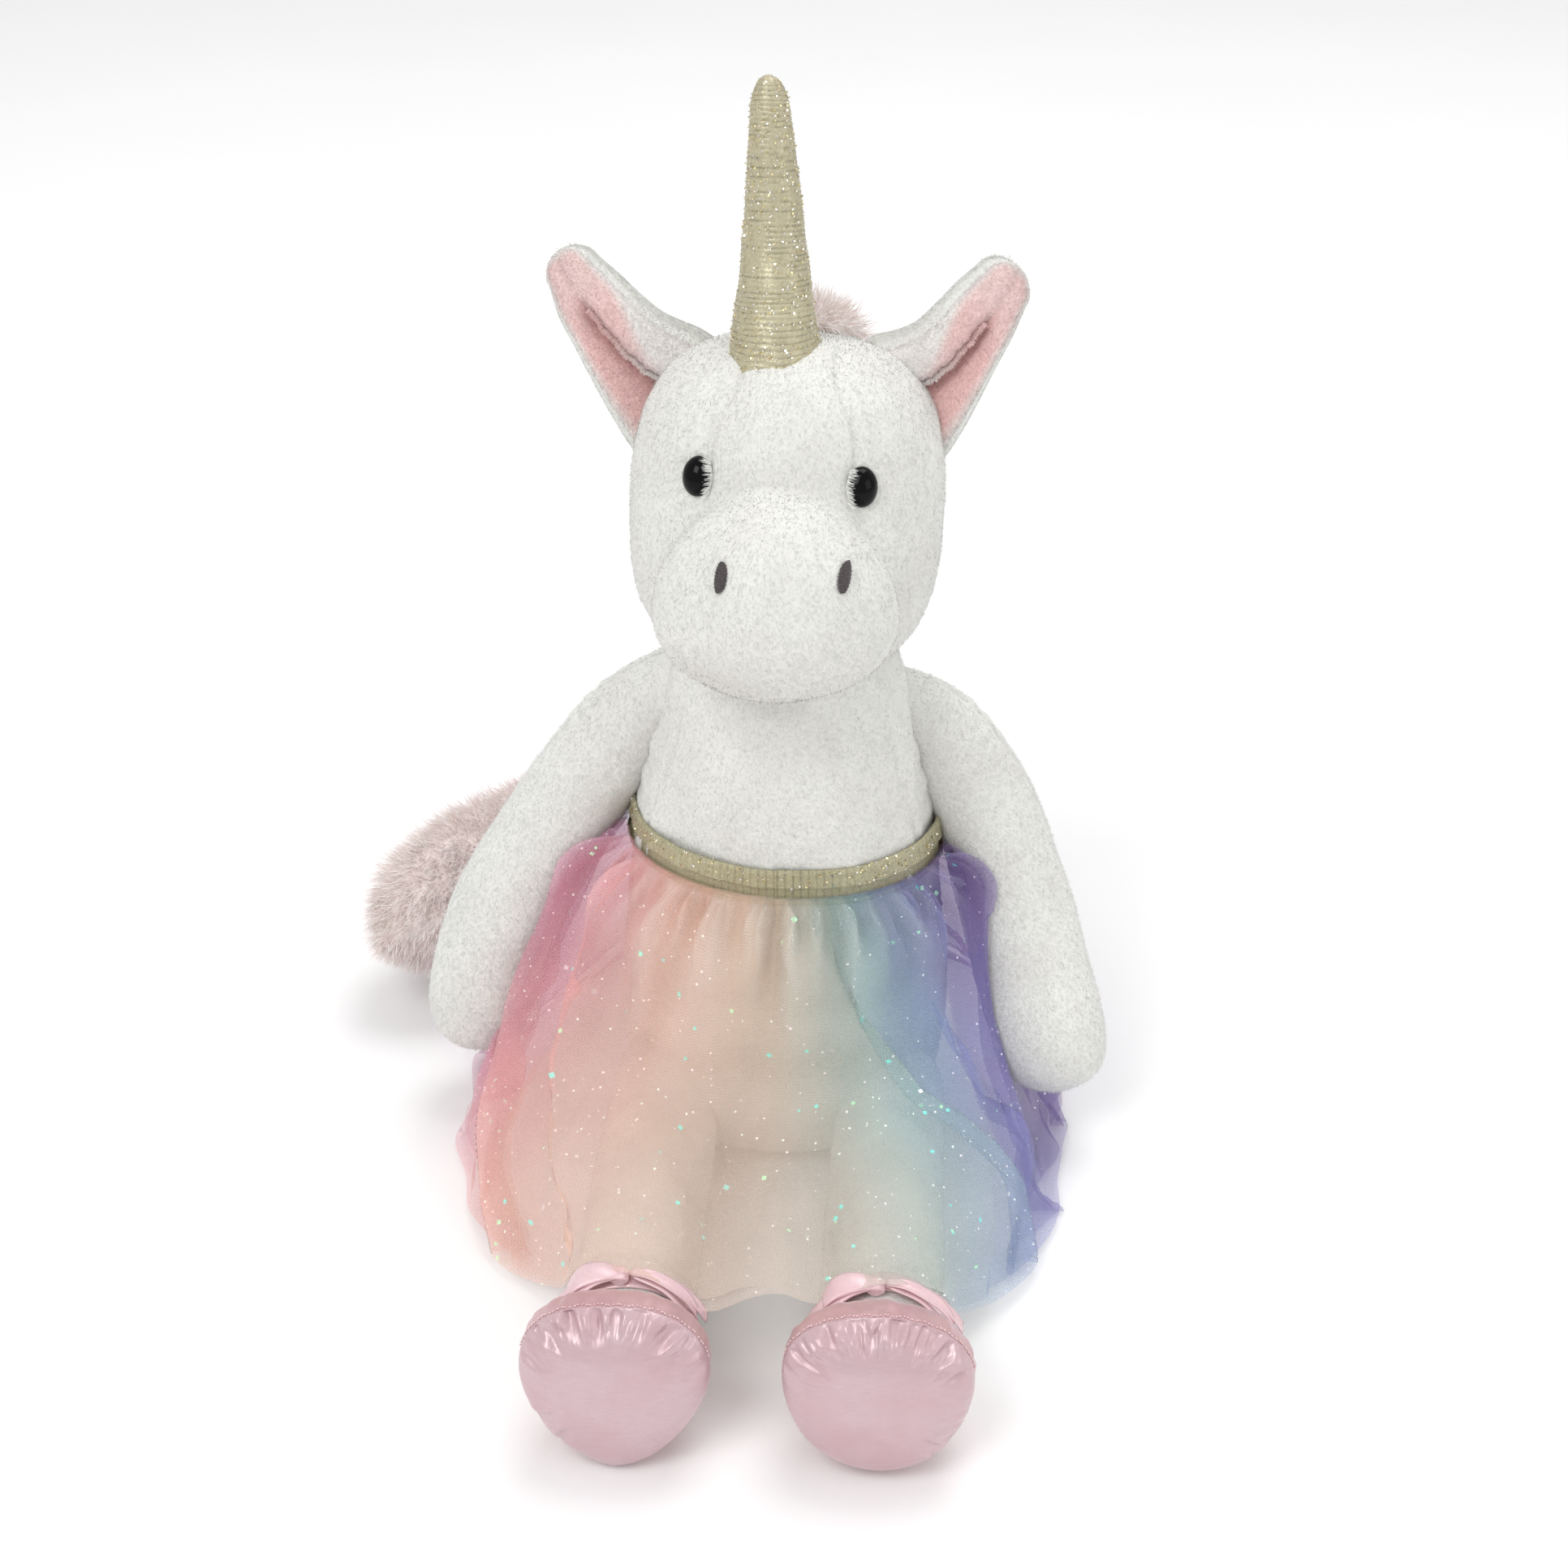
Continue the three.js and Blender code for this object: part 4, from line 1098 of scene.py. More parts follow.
def make_leg(name, side):
    x = side * LEG_X
    rows, around = 110, 84
    y = np.linspace(-22, -151, rows)
    share = np.linspace(0, 1, rows)
    path = np.stack([np.full(rows, x), y, np.full(rows, LEG_Z)], 1)
    r = LEG_R + 0.5 * np.sin(share * math.pi) - 0.6 * smooth(0.75, 1, share)

    def shape(a, s):
        return 1 + 0.022 * waves(a * 16, s * 120, 31 + side, 46) + 0.012 * np.sin(s * 260 + 2
                * np.cos(a)) * smooth(0.8, 0.97, s)

    v, f = tube(path, r, around, up=(0, 0, 1), shape=shape)
    v[:, 2] = np.maximum(v[:, 2], 1.6 + 0.1 * (v[:, 2] - 1.6))
    ends = [ring_face(around, rows, 0), ring_face(around, rows, rows - 1)[::-1]]
    o = build(f"{name}_leg_plush", v, [f[:, ::-1]] + [arr_i([c]) for c in ends], WHITE)
    bend = ("torso", f"{name}_leg", (x, -30, 37), (x, -56, 37))
    attach(o, bend=bend, replaces=(f"{name}_leg_skin", f"{name}_leg_stuffing",
                                                  f"{name}_foot_stuffing"))
    show = lambda p: np.where(p[:, 1] < -125, 1.0, 0.3) * (p[:, 1] < -40)
    attach(pile(f"{name}_leg_pile", o, 16000, 1.2, WHITE_PILE, comb=(0, -1, 0), keep=show),
           bend=bend)


# ------------------------------------------------------------------ slippers
SOLE_Y = -169.6
SOLE_MIDDLE = 30.5


def sole_outline(phi, side):
    """The sole's radius at an angle from straight up: a rounded shield that narrows to its foot."""
    x, z = np.sin(phi), np.cos(phi)
    up = np.where(z > 0, 19.9, 30.2 if side < 0 else 28.2)
    e = np.where(z > 0, 2.35, 1.68 if side < 0 else 1.92)
    return (np.abs(x / 25.6) ** e + np.abs(z / up) ** e) ** (-1 / e) * (1 + 0.006
            * np.sin(5 * phi + side))


def sole_plane(z):
    """The soles lean back a little."""
    return SOLE_Y + (z - 24) * 0.12


def make_slipper(name, side):
    x0, z0 = side * LEG_X, SOLE_MIDDLE
    body = f"{name}_leg"
    around, rings = 264, 48
    phi = np.linspace(0, 2 * math.pi, around, endpoint=False)[:, None]
    rho = np.linspace(0.004, 1, rings)[None, :] ** 0.75
    out = sole_outline(phi, side)
    seed = 41 + side
    turn = phi * 25
    top = smooth(-0.05, 0.5, np.cos(phi))
    low = 0.8 * np.exp(-(((phi - math.pi + side * 0.9) / 0.35) ** 2))
    reach = 0.36 + 0.12 * waves(turn, 0 * phi, seed + 9, 12, 2) + 0.06 * top
    near = smooth(1 - reach, 0.9, rho) * smooth(1.01, 0.95, rho) * np.clip(top + low, 0, 1)
    crease = waves(turn, rho * 10, seed, 8.5, 3) + 0.5 * waves(turn, rho * 6, seed + 5, 4.4, 2)
    crease = np.sign(crease) * np.abs(crease) ** 0.8
    puff = 8.6 * (1 - rho ** (2.3 + 0.5 * top)) ** (0.56 + 0.5 * top)
    r = out * rho
    z = z0 + np.cos(phi) * r
    y = sole_plane(z) - puff - 1.7 * near * crease - 0.35 * waves(np.sin(phi) * r, z, seed + 2, 26,
            2) * (1 - rho)
    front = np.stack([x0 + np.sin(phi) * r, y, z], -1)
    rim = out * arr([[1.0, 0.96, 0.4]])
    zr = z0 + np.cos(phi) * rim
    backs = np.stack([x0 + np.sin(phi) * rim, sole_plane(zr) + arr([[0.4, 0.9, 1.0]]), zr], -1)
    both = np.concatenate([front, backs], 1)
    m = rings + 3
    caps = [ring_face(around, m, 0), ring_face(around, m, m - 1)[::-1]]
    flat = both.reshape(-1, 3)
    flat[:, 2] = np.maximum(flat[:, 2], 0.25)
    o = build(f"{name}_sole_satin", flat, [grid(around, m, True)[:, ::-1]] + [arr_i([c]) for c in caps],
              SATIN)
    attach(o, body, replaces=(f"{name}_slipper_sole",))

    # the upper, from the sole seam back to the opening round the ankle
    depth = 34
    t = np.linspace(0, 1, depth)[None, :]
    shut = t**1.7
    ankle = LEG_R + 0.9
    r = out * (1 - shut) + ankle * shut + 0.8 * np.sin(math.pi * np.minimum(t * 1.3, 1)) * smooth(0, 0.3,
            t)
    folds = waves(turn, t * 8, seed + 3, 8, 3) * smooth(0.02, 0.2, t) * (1 - 0.4 * t)
    r = r + folds * 0.45 + 0.3 * np.exp(-(((t - 0.97) / 0.03) ** 2))
    cz = z0 + (LEG_Z - z0) * shut
    z = cz + np.cos(phi) * r
    y = sole_plane(z0 + np.cos(phi) * out) + 0.2 + 22.5 * t**0.9 * (1 - 0.10
            * np.cos(phi)) + 0.5 * waves(turn, t * 3, seed + 4, 12, 2) * t
    outer = np.stack([x0 + np.sin(phi) * r, y, z], -1)
    rin = r - 0.8
    inner = np.stack([x0 + np.sin(phi) * rin, y + 0.2 * (1 - t), cz + np.cos(phi) * rin], -1)[:, ::-1]
    both = np.concatenate([outer, inner], 1)
    m = depth * 2
    flat = both.reshape(-1, 3)
    flat[:, 2] = np.maximum(flat[:, 2], 0.25)
    i = np.arange(around)
    close = np.stack([i * m + m - 1, ((i + 1) % around) * m + m - 1, ((i + 1) % around) * m, i * m], 1)
    o = build(f"{name}_upper_satin", flat, np.concatenate([grid(around, m, True), close]), SATIN_DEEP)
    attach(o, body, replaces=(f"{name}_slipper_upper",))

    # running stitches and the raw edge above the seam
    rows, faces, n = [], [], 0
    for k in range(-27, 28):
        at = k * 0.05 + 0.008 * math.sin(k * 2.3)
        pts = []
        for a in np.linspace(at, at + 0.031 + 0.006 * math.sin(k * 1.7), 5):
            rad = float(sole_outline(arr(a), side)) + 0.25
            zz = z0 + math.cos(a) * rad
            pts.append((x0 + math.sin(a) * rad, float(sole_plane(zz)) + 0.9 + 0.25 * math.sin(k * 1.3),
                        zz))
        v, f = tube(pts, [0.1, 0.24, 0.28, 0.24, 0.1], 6)
        rows.append(v)
        faces.append(f + n)
        n += len(v)
    o = build(f"{name}_seam_stitches", np.concatenate(rows), np.concatenate(faces), RIBBON)
    attach(o, body)


def ribbon_strip(path, width, across, thick=0.5, curl=0.0, notch=0.0):
    """A closed thin strip along path. Its width lies along across, one vector or one for each point."""
    p = arr(path)
    w = unit(np.broadcast_to(arr(across), p.shape))
    t = unit(np.gradient(p, axis=0))
    n = unit(np.cross(t, w))
    s = np.linspace(-0.5, 0.5, 9)
    wide = np.broadcast_to(arr(width), (len(p),))
    top = p[:, None] + w[:, None] * (wide[:, None] * s[None])[..., None] + n[:, None] * (curl
            * (4 * s**2))[None, :, None]
    if notch:
        top[-1] += t[-1] * (np.abs(s) * 2 * notch)[:, None]
    low = top - n[:, None] * thick
    v = np.concatenate([top, low[:, ::-1]], 1)
    m = v.shape[1]
    flat = v.reshape(-1, 3)
    g = grid(len(p), m)
    i = np.arange(len(p) - 1)
    close = np.stack([i * m + m - 1, (i + 1) * m + m - 1, (i + 1) * m, i * m], 1)
    k = 9
    ends = []
    for row, flip in ((0, False), (len(p) - 1, True)):
        for j in range(k - 1):
            q = [row * m + j, row * m + j + 1, row * m + m - 2 - j, row * m + m - 1 - j]
            ends.append(q[::-1] if flip else q)
    return flat, np.concatenate([g, close, arr_i(ends)])


def make_ribbons(name, side):
    x0 = side * LEG_X
    body = f"{name}_leg"
    # the band round the ankle, a little slack and crossed on itself
    a = np.linspace(0, 2 * math.pi, 90)
    r = 18.0 + 0.35 * np.sin(3 * a + side)
    path = np.stack([x0 + np.sin(a) * r, -137.5 + 1.6 * np.sin(a + side), LEG_Z + np.cos(a) * r], 1)
    out = np.stack([np.sin(a), 0 * a, np.cos(a)], 1)
    v, f = ribbon_strip(path, 7.0, np.stack([0 * a, 1 + 0 * a, 0 * a], 1) + out * 0.06 * side, curl=-0.35)
    v[:, 2] = np.maximum(v[:, 2], 0.4)
    o = build(f"{name}_ankle_band", v, f, RIBBON)
    attach(o, body, replaces=(f"{name}_ankle_ribbon",))

    knot = arr([x0 - 1.5, -139.4, LEG_Z + 19.0])
    d, f = sphere_mesh(4)
    lump = d * arr([2.9, 3.3, 1.9]) * (1 + 0.12 * np.sin(d[:, 1:2] * 7) + 0.05 * lumps(d * 8, 51, 6)[:,
            None])
    o = build(f"{name}_bow_knot_satin", knot + lump, f, RIBBON)
    attach(o, body, replaces=(f"{name}_bow_knot",))

    def round_leg(points, flip):
        """Places given by an angle in degrees from the top of the leg, a height above its middle, and y."""
        a = np.radians([p[0] for p in points]) * flip
        h = 19.4 + (arr([p[1] for p in points]) - 19.4) * 0.62
        return np.stack([x0 + np.sin(a) * h, arr([p[2] for p in points]) + 4.2, LEG_Z + np.cos(a) * h], 1)

    # seen from the front, the fuller loop and notched tail lie to the left and the thin ones to the right
    for where, turn in (("outer", side), ("inner", -side)):
        full = turn < 0
        if full:
            loop = [(4, 20.6, -143.4), (17, 23.6, -144.4), (33, 25.4, -145.4), (45, 24.0, -146.2),
                    (40, 21.2, -145.6), (22, 20.0, -144.2), (5, 19.6, -143.2)]
            tail = [(7, 20.8, -144.8), (24, 22.0, -146.4), (42, 23.0, -148.4), (58, 23.6, -149.8),
                    (70, 23.4, -150.6)]
        else:
            loop = [(4, 20.6, -143.6), (22, 22.4, -144.6), (46, 24.2, -146.6), (62, 24.8, -149.0),
                    (58, 22.8, -149.4), (32, 20.8, -146.2), (6, 19.8, -143.6)]
            tail = [(6, 20.4, -143.0), (24, 21.8, -143.8), (44, 23.8, -145.0), (60, 25.6, -146.4),
                    (72, 27.2, -147.6)]
        line, _ = even(round_leg(loop, turn), 48)
        s = np.linspace(0, 1, 48)
        wide = (4.2 if full else 2.4) + (3.6 if full else 1.6) * np.sin(math.pi * s) ** 0.6
        tilt = np.stack([0.2 * turn * np.cos(math.pi * s), 1 + 0 * s, 0.25 * np.sin(2 * math.pi * s)], 1)
        v, f = ribbon_strip(line, wide, tilt, thick=0.4, curl=0.6)
        v[:, 2] = np.maximum(v[:, 2], 0.5)
        o = build(f"{name}_bow_{where}_loop_satin", v, f, RIBBON)
        attach(o, body, replaces=(f"{name}_bow_{where}_loop",))
        line, _ = even(round_leg(tail, turn), 30)
        s = np.linspace(0, 1, 30)
        wide = (3.4 + 2.6 * smooth(0, 0.5, s)) if full else (2.2 + 1.2 * smooth(0, 0.6, s))
        v, f = ribbon_strip(line, wide, np.stack([0.1 * turn + 0 * s, 1 + 0 * s, 0.25 * s], 1),
                            thick=0.4, curl=0.35, notch=-1.8)
        o = build(f"{name}_bow_{where}_tail_satin", v, f, RIBBON)
        attach(o, body, replaces=(f"{name}_bow_{where}_tail",))


# ------------------------------------------------------------------ skirt
def tulle(name, opacity):
    """Fine net: threads between small holes, tinted by the dye that runs round the skirt."""
    m = Nodes(name, Roughness=0.7, Sheen_Weight=0.35, Sheen_Roughness=0.35)
    dye = m.add("Attribute", attribute_name="tint").outputs["Color"]
    at = m.add("UVMap", uv_map="cloth").outputs["UV"]
    net = m.add("TexVoronoi", {"Vector": at}, voronoi_dimensions="2D", feature="DISTANCE_TO_EDGE",
                Scale=1400.0, Randomness=0.85)
    cloud = m.add("TexNoise", {"Vector": at}, noise_dimensions="2D", Scale=60.0, Detail=3.0)
    tone = m.ramp(cloud.outputs["Fac"], [(0.3, grey(0.94)), (0.7, grey(1.0))])
    m.link(m.mix(1.0, dye, tone, "MULTIPLY"), "Base Color")
    m.link(m.ramp(net.outputs["Distance"], [(0.05, grey(opacity + 0.12)), (0.2, grey(opacity - 0.04))]),
           "Alpha")
    return m.mat


RING_AT = [0.0, 0.12, 0.27, 0.43, 0.70, 1.0]
RINGS = [
    [(0, -49, 87), (27, -43, 87), (52, -21, 87), (63, 8, 88), (60, 42, 91), (32, 66, 90),
     (0, 73, 90), (-32, 66, 90), (-62, 42, 92), (-67, 8, 88), (-54, -21, 87), (-27, -43, 87)],
    [(0, -57, 66), (32, -51, 66), (57, -25, 65), (66, 8, 66), (66, 47, 66), (36, 76, 64),
     (0, 83, 64), (-36, 76, 64), (-70, 47, 67), (-76, 4, 69), (-64, -29, 66), (-33, -51, 66)],
    [(0, -63, 41), (34, -63, 45), (62, -40, 42), (70, 0, 38), (71, 48, 38), (40, 80, 38),
     (0, 88, 38), (-40, 80, 38), (-76, 48, 39), (-83, -4, 44), (-73, -42, 44), (-36, -63, 45)],
    [(0, -100, 31), (38, -98, 41), (71, -74, 26), (81, -20, 10), (82, 46, 12), (48, 86, 12),
     (0, 94, 12), (-48, 86, 12), (-85, 42, 12), (-94, -10, 12), (-80, -74, 27), (-40, -98, 41)],
    [(0, -142, 35), (40, -141, 40), (60, -119, 14), (75, -92, 5), (87, -64, 3), (89, -35, 2.5),
     (88, 30, 2.5), (53, 85, 2.5),
     (0, 98, 2.5), (-51, 85, 2.5), (-94, 30, 2.5), (-102, -34, 2.5), (-90, -68, 3), (-73, -96, 5), (-58,
             -118, 14), (-40, -140, 39)],
]
FLAT_WIDTH, FLAT_LENGTH = 720.0, 135.0


def ring_even(points, u):
    """Places on a closed ring at shares u of its length, from the front round to the toy's left."""
    fine = spline(points, np.linspace(0, 1, 1500), closed=True)
    run = run_length(fine)
    want = (u % 1.0) * run[-1]
    return np.stack([np.interp(want, run, fine[:, k]) for k in range(3)], -1)


def band_height(a):
    """The waistband sits a little lower at the toy's left."""
    return -1.9 * np.sin(a)


# Long folds: start at the waist, end at the hem, half width, overlap, rise, and the way each faces.
FOLDS = {
    "outer": [(-0.262, -0.155, 0.022, 0.040, 3.8, 1), (0.040, 0.160, 0.018, 0.034, 3.4, -1),
              (-0.175, -0.085, 0.018, 0.020, 2.0, 1), (0.30, 0.262, 0.03, 0.04, 3.0, -1),
              (-0.36, -0.30, 0.03, 0.04, 3.2, 1), (0.43, 0.40, 0.025, 0.03, 2.6, -1), (-0.45, -0.43,
                      0.025, 0.03, 2.6, 1)],
    "inner": [(0.10, 0.20, 0.022, 0.026, 1.2, -1), (-0.20, -0.27, 0.022, 0.026, 1.2, 1),
              (-0.02, -0.05, 0.02, 0.012, 0.6, 1)],
}


def skirt_surface(u, t, kind):
    """The skirt before it settles: gathered at the band, with its long folds laid in."""
    inner = kind == "inner"
    v, rise = u.copy(), 0
    for start, end, width, over, high, way in FOLDS[kind]:
        x = ((u - (start + (end - start) * smooth(0, 1, t)) + 0.5) % 1 - 0.5) / width
        grow = smooth(0.03, 0.35, t)
        v = v - over * x * np.exp(-x * x) * grow
        rise = rise + high * np.exp(-(((x - 0.7 * way) / 0.9) ** 2)) * grow
    a = 2 * math.pi * v
    waist = torso_point(a, torso_radius(95.0) + (1.6 if inner else 2.6), 94.6 + band_height(a))
    layers = [waist]
    for ring in RINGS:
        p = ring_even(ring, v)
        if inner:
            p = p * arr([0.972, 0.972, 1]) + arr([0, 0.28, 0])
            p[..., 2] = np.maximum(p[..., 2] - 1.6, 1.0)
        layers.append(p)
    layers = np.stack(layers)
    s = np.interp(t, RING_AT, np.arange(6))
    i = np.clip(np.floor(s).astype(int), 0, 4)
    f = (s - i)[..., None]

    def pick(k):
        return np.take_along_axis(layers, np.clip(k, 0, 5)[None, ..., None].repeat(3, -1), 0)[0]

    p0, p1, p2, p3 = pick(i - 1), pick(i), pick(i + 1), pick(i + 2)
    p0 = np.where((i == 0)[..., None], 2 * p1 - p2, p0)
    p3 = np.where((i == 4)[..., None], 2 * p2 - p1, p3)
    p = p1 + 0.5 * f * (p2 - p0 + f * (2 * p0 - 5 * p1 + 4 * p2 - p3 + f * (3 * (p1 - p2) + p3 - p0)))
    return p, rise


def round_waves(u, y, seed, scale, octaves=2):
    """Soft noise that meets itself round the skirt."""
    meet = smooth(0.93, 1.0, u)
    return waves(u * 1000, y, seed, scale, octaves) * (1 - meet) + waves((u - 1) * 1000, y, seed, scale,
            octaves) * meet


GATHER_SEEDS = {"outer": 61, "inner": 75}


def at_front(u):
    """1 at the skirt's front, falling to 0 towards its sides."""
    return np.exp(-((((u + 0.5) % 1 - 0.5) / 0.19) ** 2))


def gathers(u, t, kind):
    """The small gathers that the elastic pulls in, narrow and deep at the band."""
    seed = GATHER_SEEDS[kind]
    wander = 0.010 * round_waves(u, t * 0, seed, 130) + 0.006 * round_waves(u, t * 0, seed + 1, 50)
    front = at_front(u)
    size = 0.75 + 0.45 * round_waves(u, t * 30, seed + 2, 60)
    narrow = np.sin(2 * math.pi * 37 * (u + wander)) * 4.6 * size * smooth(-0.01, 0.05,
            t) * np.exp(-((t / 0.16) ** 2))
    middle = np.sin(2 * math.pi * 17 * (u + wander * 1.6) + 1.5 * t) * 4.2 * size * smooth(0.04, 0.16, t)
    return narrow + middle * (np.exp(-((t / 0.30) ** 2)) * (1 - 0.2 * front) + 0.16 * (1 - front))


def pleats(u, t, kind):
    """Gathers that spread into a few soft waves."""
    seed = GATHER_SEEDS[kind]
    front = at_front(u)
    wide = round_waves(u, t * 70, seed + 3, 120) * 3.2 * smooth(0.2, 0.7, t) * (1 - 0.5 * front)
    fine = round_waves(u, t * 90, seed + 5, 34) * 0.5 * smooth(0.2, 0.5, t)
    hem = round_waves(u, t * 25, seed + 4, 60) * 0.7 * smooth(0.65, 1, t) * (1 - 0.4 * front)
    puff = 3.2 * np.exp(-(((t - 0.07) / 0.06) ** 2))
    # the inner layer is as full as the outer one, so it folds up more where it stands inside it at the sides
    at_side = np.exp(-(((np.abs((u + 0.5) % 1 - 0.5) - 0.16) / 0.08) ** 2))
    full = 2.8 * np.sin(2 * math.pi * 26 * u + 1.2 * t) * smooth(0.30, 0.55,
            t) * at_side * (kind == "inner")
    return gathers(u, t, kind) + wide + hem + fine + puff + full


LEG_RUBS = 17.9


def push_out(p, gap, arms):
    """Moves cloth out of the body, the legs, the floor and the arms. Returns what was touched."""
    x, y, z = p[..., 0], p[..., 1], p[..., 2]
    touched = z < gap
    p[..., 2] = np.maximum(z, gap)
    low = (z < 140)
    deep = torso_depth(z)
    cy = np.minimum(z, NECK_Z) * LEAN
    qx, qy = x, (y - cy) / deep
    r = np.hypot(qx, qy) + 1e-6
    want = torso_radius(z) + gap + 0.6
    hit = low & (r < want)
    k = np.where(hit, want / r, 1.0)
    p[..., 0] = qx * k
    p[..., 1] = qy * k * deep + cy
    touched = touched | hit
    for side in (1, -1):
        x, y, z = p[..., 0], p[..., 1], p[..., 2]
        dx, dz = x - side * LEG_X, z - LEG_Z
        r = np.hypot(dx, dz) + 1e-6
        want = LEG_RUBS + gap + 1.0 * (y < -133)
        hit = (r < want) & (y < -24) & (y > -166)
        k = np.where(hit, want / r, 1.0)
        p[..., 0] = side * LEG_X + dx * k
        p[..., 2] = LEG_Z + dz * k
        touched = touched | hit
    if arms is not None:
        near = np.abs(p[..., 0]) > 44
        q = p[near]
        for c, radius in arms:
            d = q - c
            r = np.linalg.norm(d, axis=1) + 1e-6
            k = np.where(r < radius + gap, (radius + gap) / r, 1.0)
            q = c + d * k[:, None]
        p[near] = q
        p[..., 2] = np.maximum(p[..., 2], gap)
    return touched


def settle(p, gap, steps):
    """A cloth simulation: threads keep their starting lengths, resist bending, hang and lie on the toy."""
    arms = []
    for name in ARMS:
        path, _ = even(ARMS[name], 26)
        arms += [(c, r) for c, r in zip(path[9:],
                                        np.interp(np.linspace(0, 1, 26), [0, 0.4, 0.8, 0.93, 1],
                                                  [14, 15.4, 16.6, 15.0, 8])[9:])]
    links = [(1, 0, 0.9, 0), (0, 1, 0.9, 0), (1, 1, 0.35, 0), (1, -1, 0.35, 0), (3, 0, 0.10, 1),
             (0, 3, 0.16, 1), (7, 0, 0.05, 1), (0, 7, 0.05, 1)]

    def ends(q, di, dj):
        far = np.roll(q, -di, 0)
        return (q[:, : q.shape[1] - dj], far[:, dj:]) if dj >= 0 else (q[:, -dj:], far[:, :dj])

    rest = []
    for di, dj, _, bend in links:
        a, b = ends(p, di, dj)
        rest.append(np.linalg.norm(b - a, axis=-1, keepdims=True))
    home, before = p.copy(), p.copy()
    top = smooth(0.02, 0.25, np.linspace(0, 1, p.shape[1]))[None, :, None]
    for step in range(steps):
        speed = np.clip((p - before) * 0.9, -0.4, 0.4)
        before = p.copy()
        p = p + speed
        p[..., 2] -= 0.035
        for _ in range(2):
            move = np.zeros_like(p)
            for (di, dj, k, bend), length in zip(links, rest):
                a, b = ends(p, di, dj)
                d = b - a
                now = np.linalg.norm(d, axis=-1, keepdims=True) + 1e-9
                c = d * ((now - length) / now * 0.5 * k * 0.36)
                if bend:
                    c = c * (now < length) * (0.25 + 0.75 * (top[:, : c.shape[1]] if di else 1.0))
                if dj >= 0:
                    move[:, : p.shape[1] - dj] += c
                    move[:, dj:] -= np.roll(c, di, 0)
                else:
                    move[:, -dj:] += c
                    move[:, :dj] -= np.roll(c, di, 0)
            p = p + move
            p[:, :2] = home[:, :2]
        drift = p - home
        mean = drift
        for axis, reach in ((0, 14), (1, 6)):
            mean = sum(np.roll(mean, k, axis) if axis == 0
                       else mean[:, np.clip(np.arange(p.shape[1]) + k, 0, p.shape[1] - 1)]
                       for k in (-reach, -reach // 2, 0, reach // 2, reach)) / 5
        p, before = p - mean * 0.12, before - mean * 0.12
        touched = push_out(p, gap, arms if step % 4 == 3 or step > steps - 4 else None)
        before = np.where(touched[..., None], before + (p - before) * 0.6, before)
    return p


def finer(p):
    """Twice as many columns round the skirt, on smooth curves."""
    a, b, c, d = np.roll(p, 1, 0), p, np.roll(p, -1, 0), np.roll(p, -2, 0)
    out = np.empty((2 * len(p),) + p.shape[1:])
    out[0::2], out[1::2] = p, (9 * (b + c) - a - d) / 16
    return out


DYE = [
    (-0.50, (172, 118, 180)), (-0.38, (176, 122, 188)), (-0.31, (180, 126, 192)), (-0.26,
            (190, 134, 192)),
    (-0.225, (204, 146, 190)), (-0.195, (230, 162, 186)), (-0.17, (246, 176, 188)), (-0.14,
            (250, 182, 180)), (-0.10, (250, 198, 182)), (-0.05, (250, 212, 190)),
    (0.0, (244, 220, 198)), (0.035, (214, 218, 204)), (0.065, (170, 212, 208)), (0.095, (140, 182, 214)),
    (0.125, (134, 152, 216)), (0.16, (140, 130, 206)), (0.20, (140, 114, 190)), (0.25, (142, 100, 172)),
    (0.31, (152, 98, 160)), (0.40, (160, 106, 168)), (0.50, (172, 118, 180)),
]


def dye(u, t):
    """The rainbow round the waist. It pales and spreads towards the hem, and is darkened with painted shade
    near the band on the toy's left, lower on that side, and low between the legs.
    """
    u = (u + 0.5) % 1 - 0.5
    at = arr([d[0] for d in DYE])
    c = arr([srgb(*d[1])[:3] for d in DYE])
    spread = u * (1 - 0.25 * smooth(0.1, 0.9, t)) * (np.abs(u) < 0.5)
    rgb = np.stack([np.interp(spread, at, c[:, k]) for k in range(3)], -1)
    pale = arr(srgb(248, 228, 218)[:3])
    w = (0.40 * smooth(0.2, 0.8, t) * np.exp(-((u / 0.13) ** 2)) + 0.06)[..., None]
    # painted shade: darker near the band on the toy's left where the arm shades it, a little darker lower on
    # that side, and darker low in the middle where the shadow between the legs shows through
    deep = 0.26 * np.exp(-((t / 0.24) ** 2)) * smooth(0.0, 0.08, u) + 0.06 * smooth(0.0, 0.06,
            u) * smooth(0.3, 0.6, t)
    deep = 1 - (deep + 0.07 * np.exp(-((u / 0.05) ** 2)) * smooth(0.5, 0.66, t))[..., None]
    return (rgb * (1 - w) + pale * w) * deep


WHOLE_SKIRT = 80000  # about the outer layer's area in square millimetres
# name, least on a sheet, count on the whole skirt, size, colours, tilt and lift above the cloth
SPECKS = [("glitter", 30, 1300, 0.55, GLITTER, 0.35, 0.4), ("sequins", 8, 230, 1.25, SEQUINS, 0.25, 0.45)]
COLUMNS, ROWS = 480, 72  # threads of the cloth simulation
# the skirt in front of this y follows the legs, and within this x it is the lap
LAP_FRONT, LAP_HALF = -44, 60


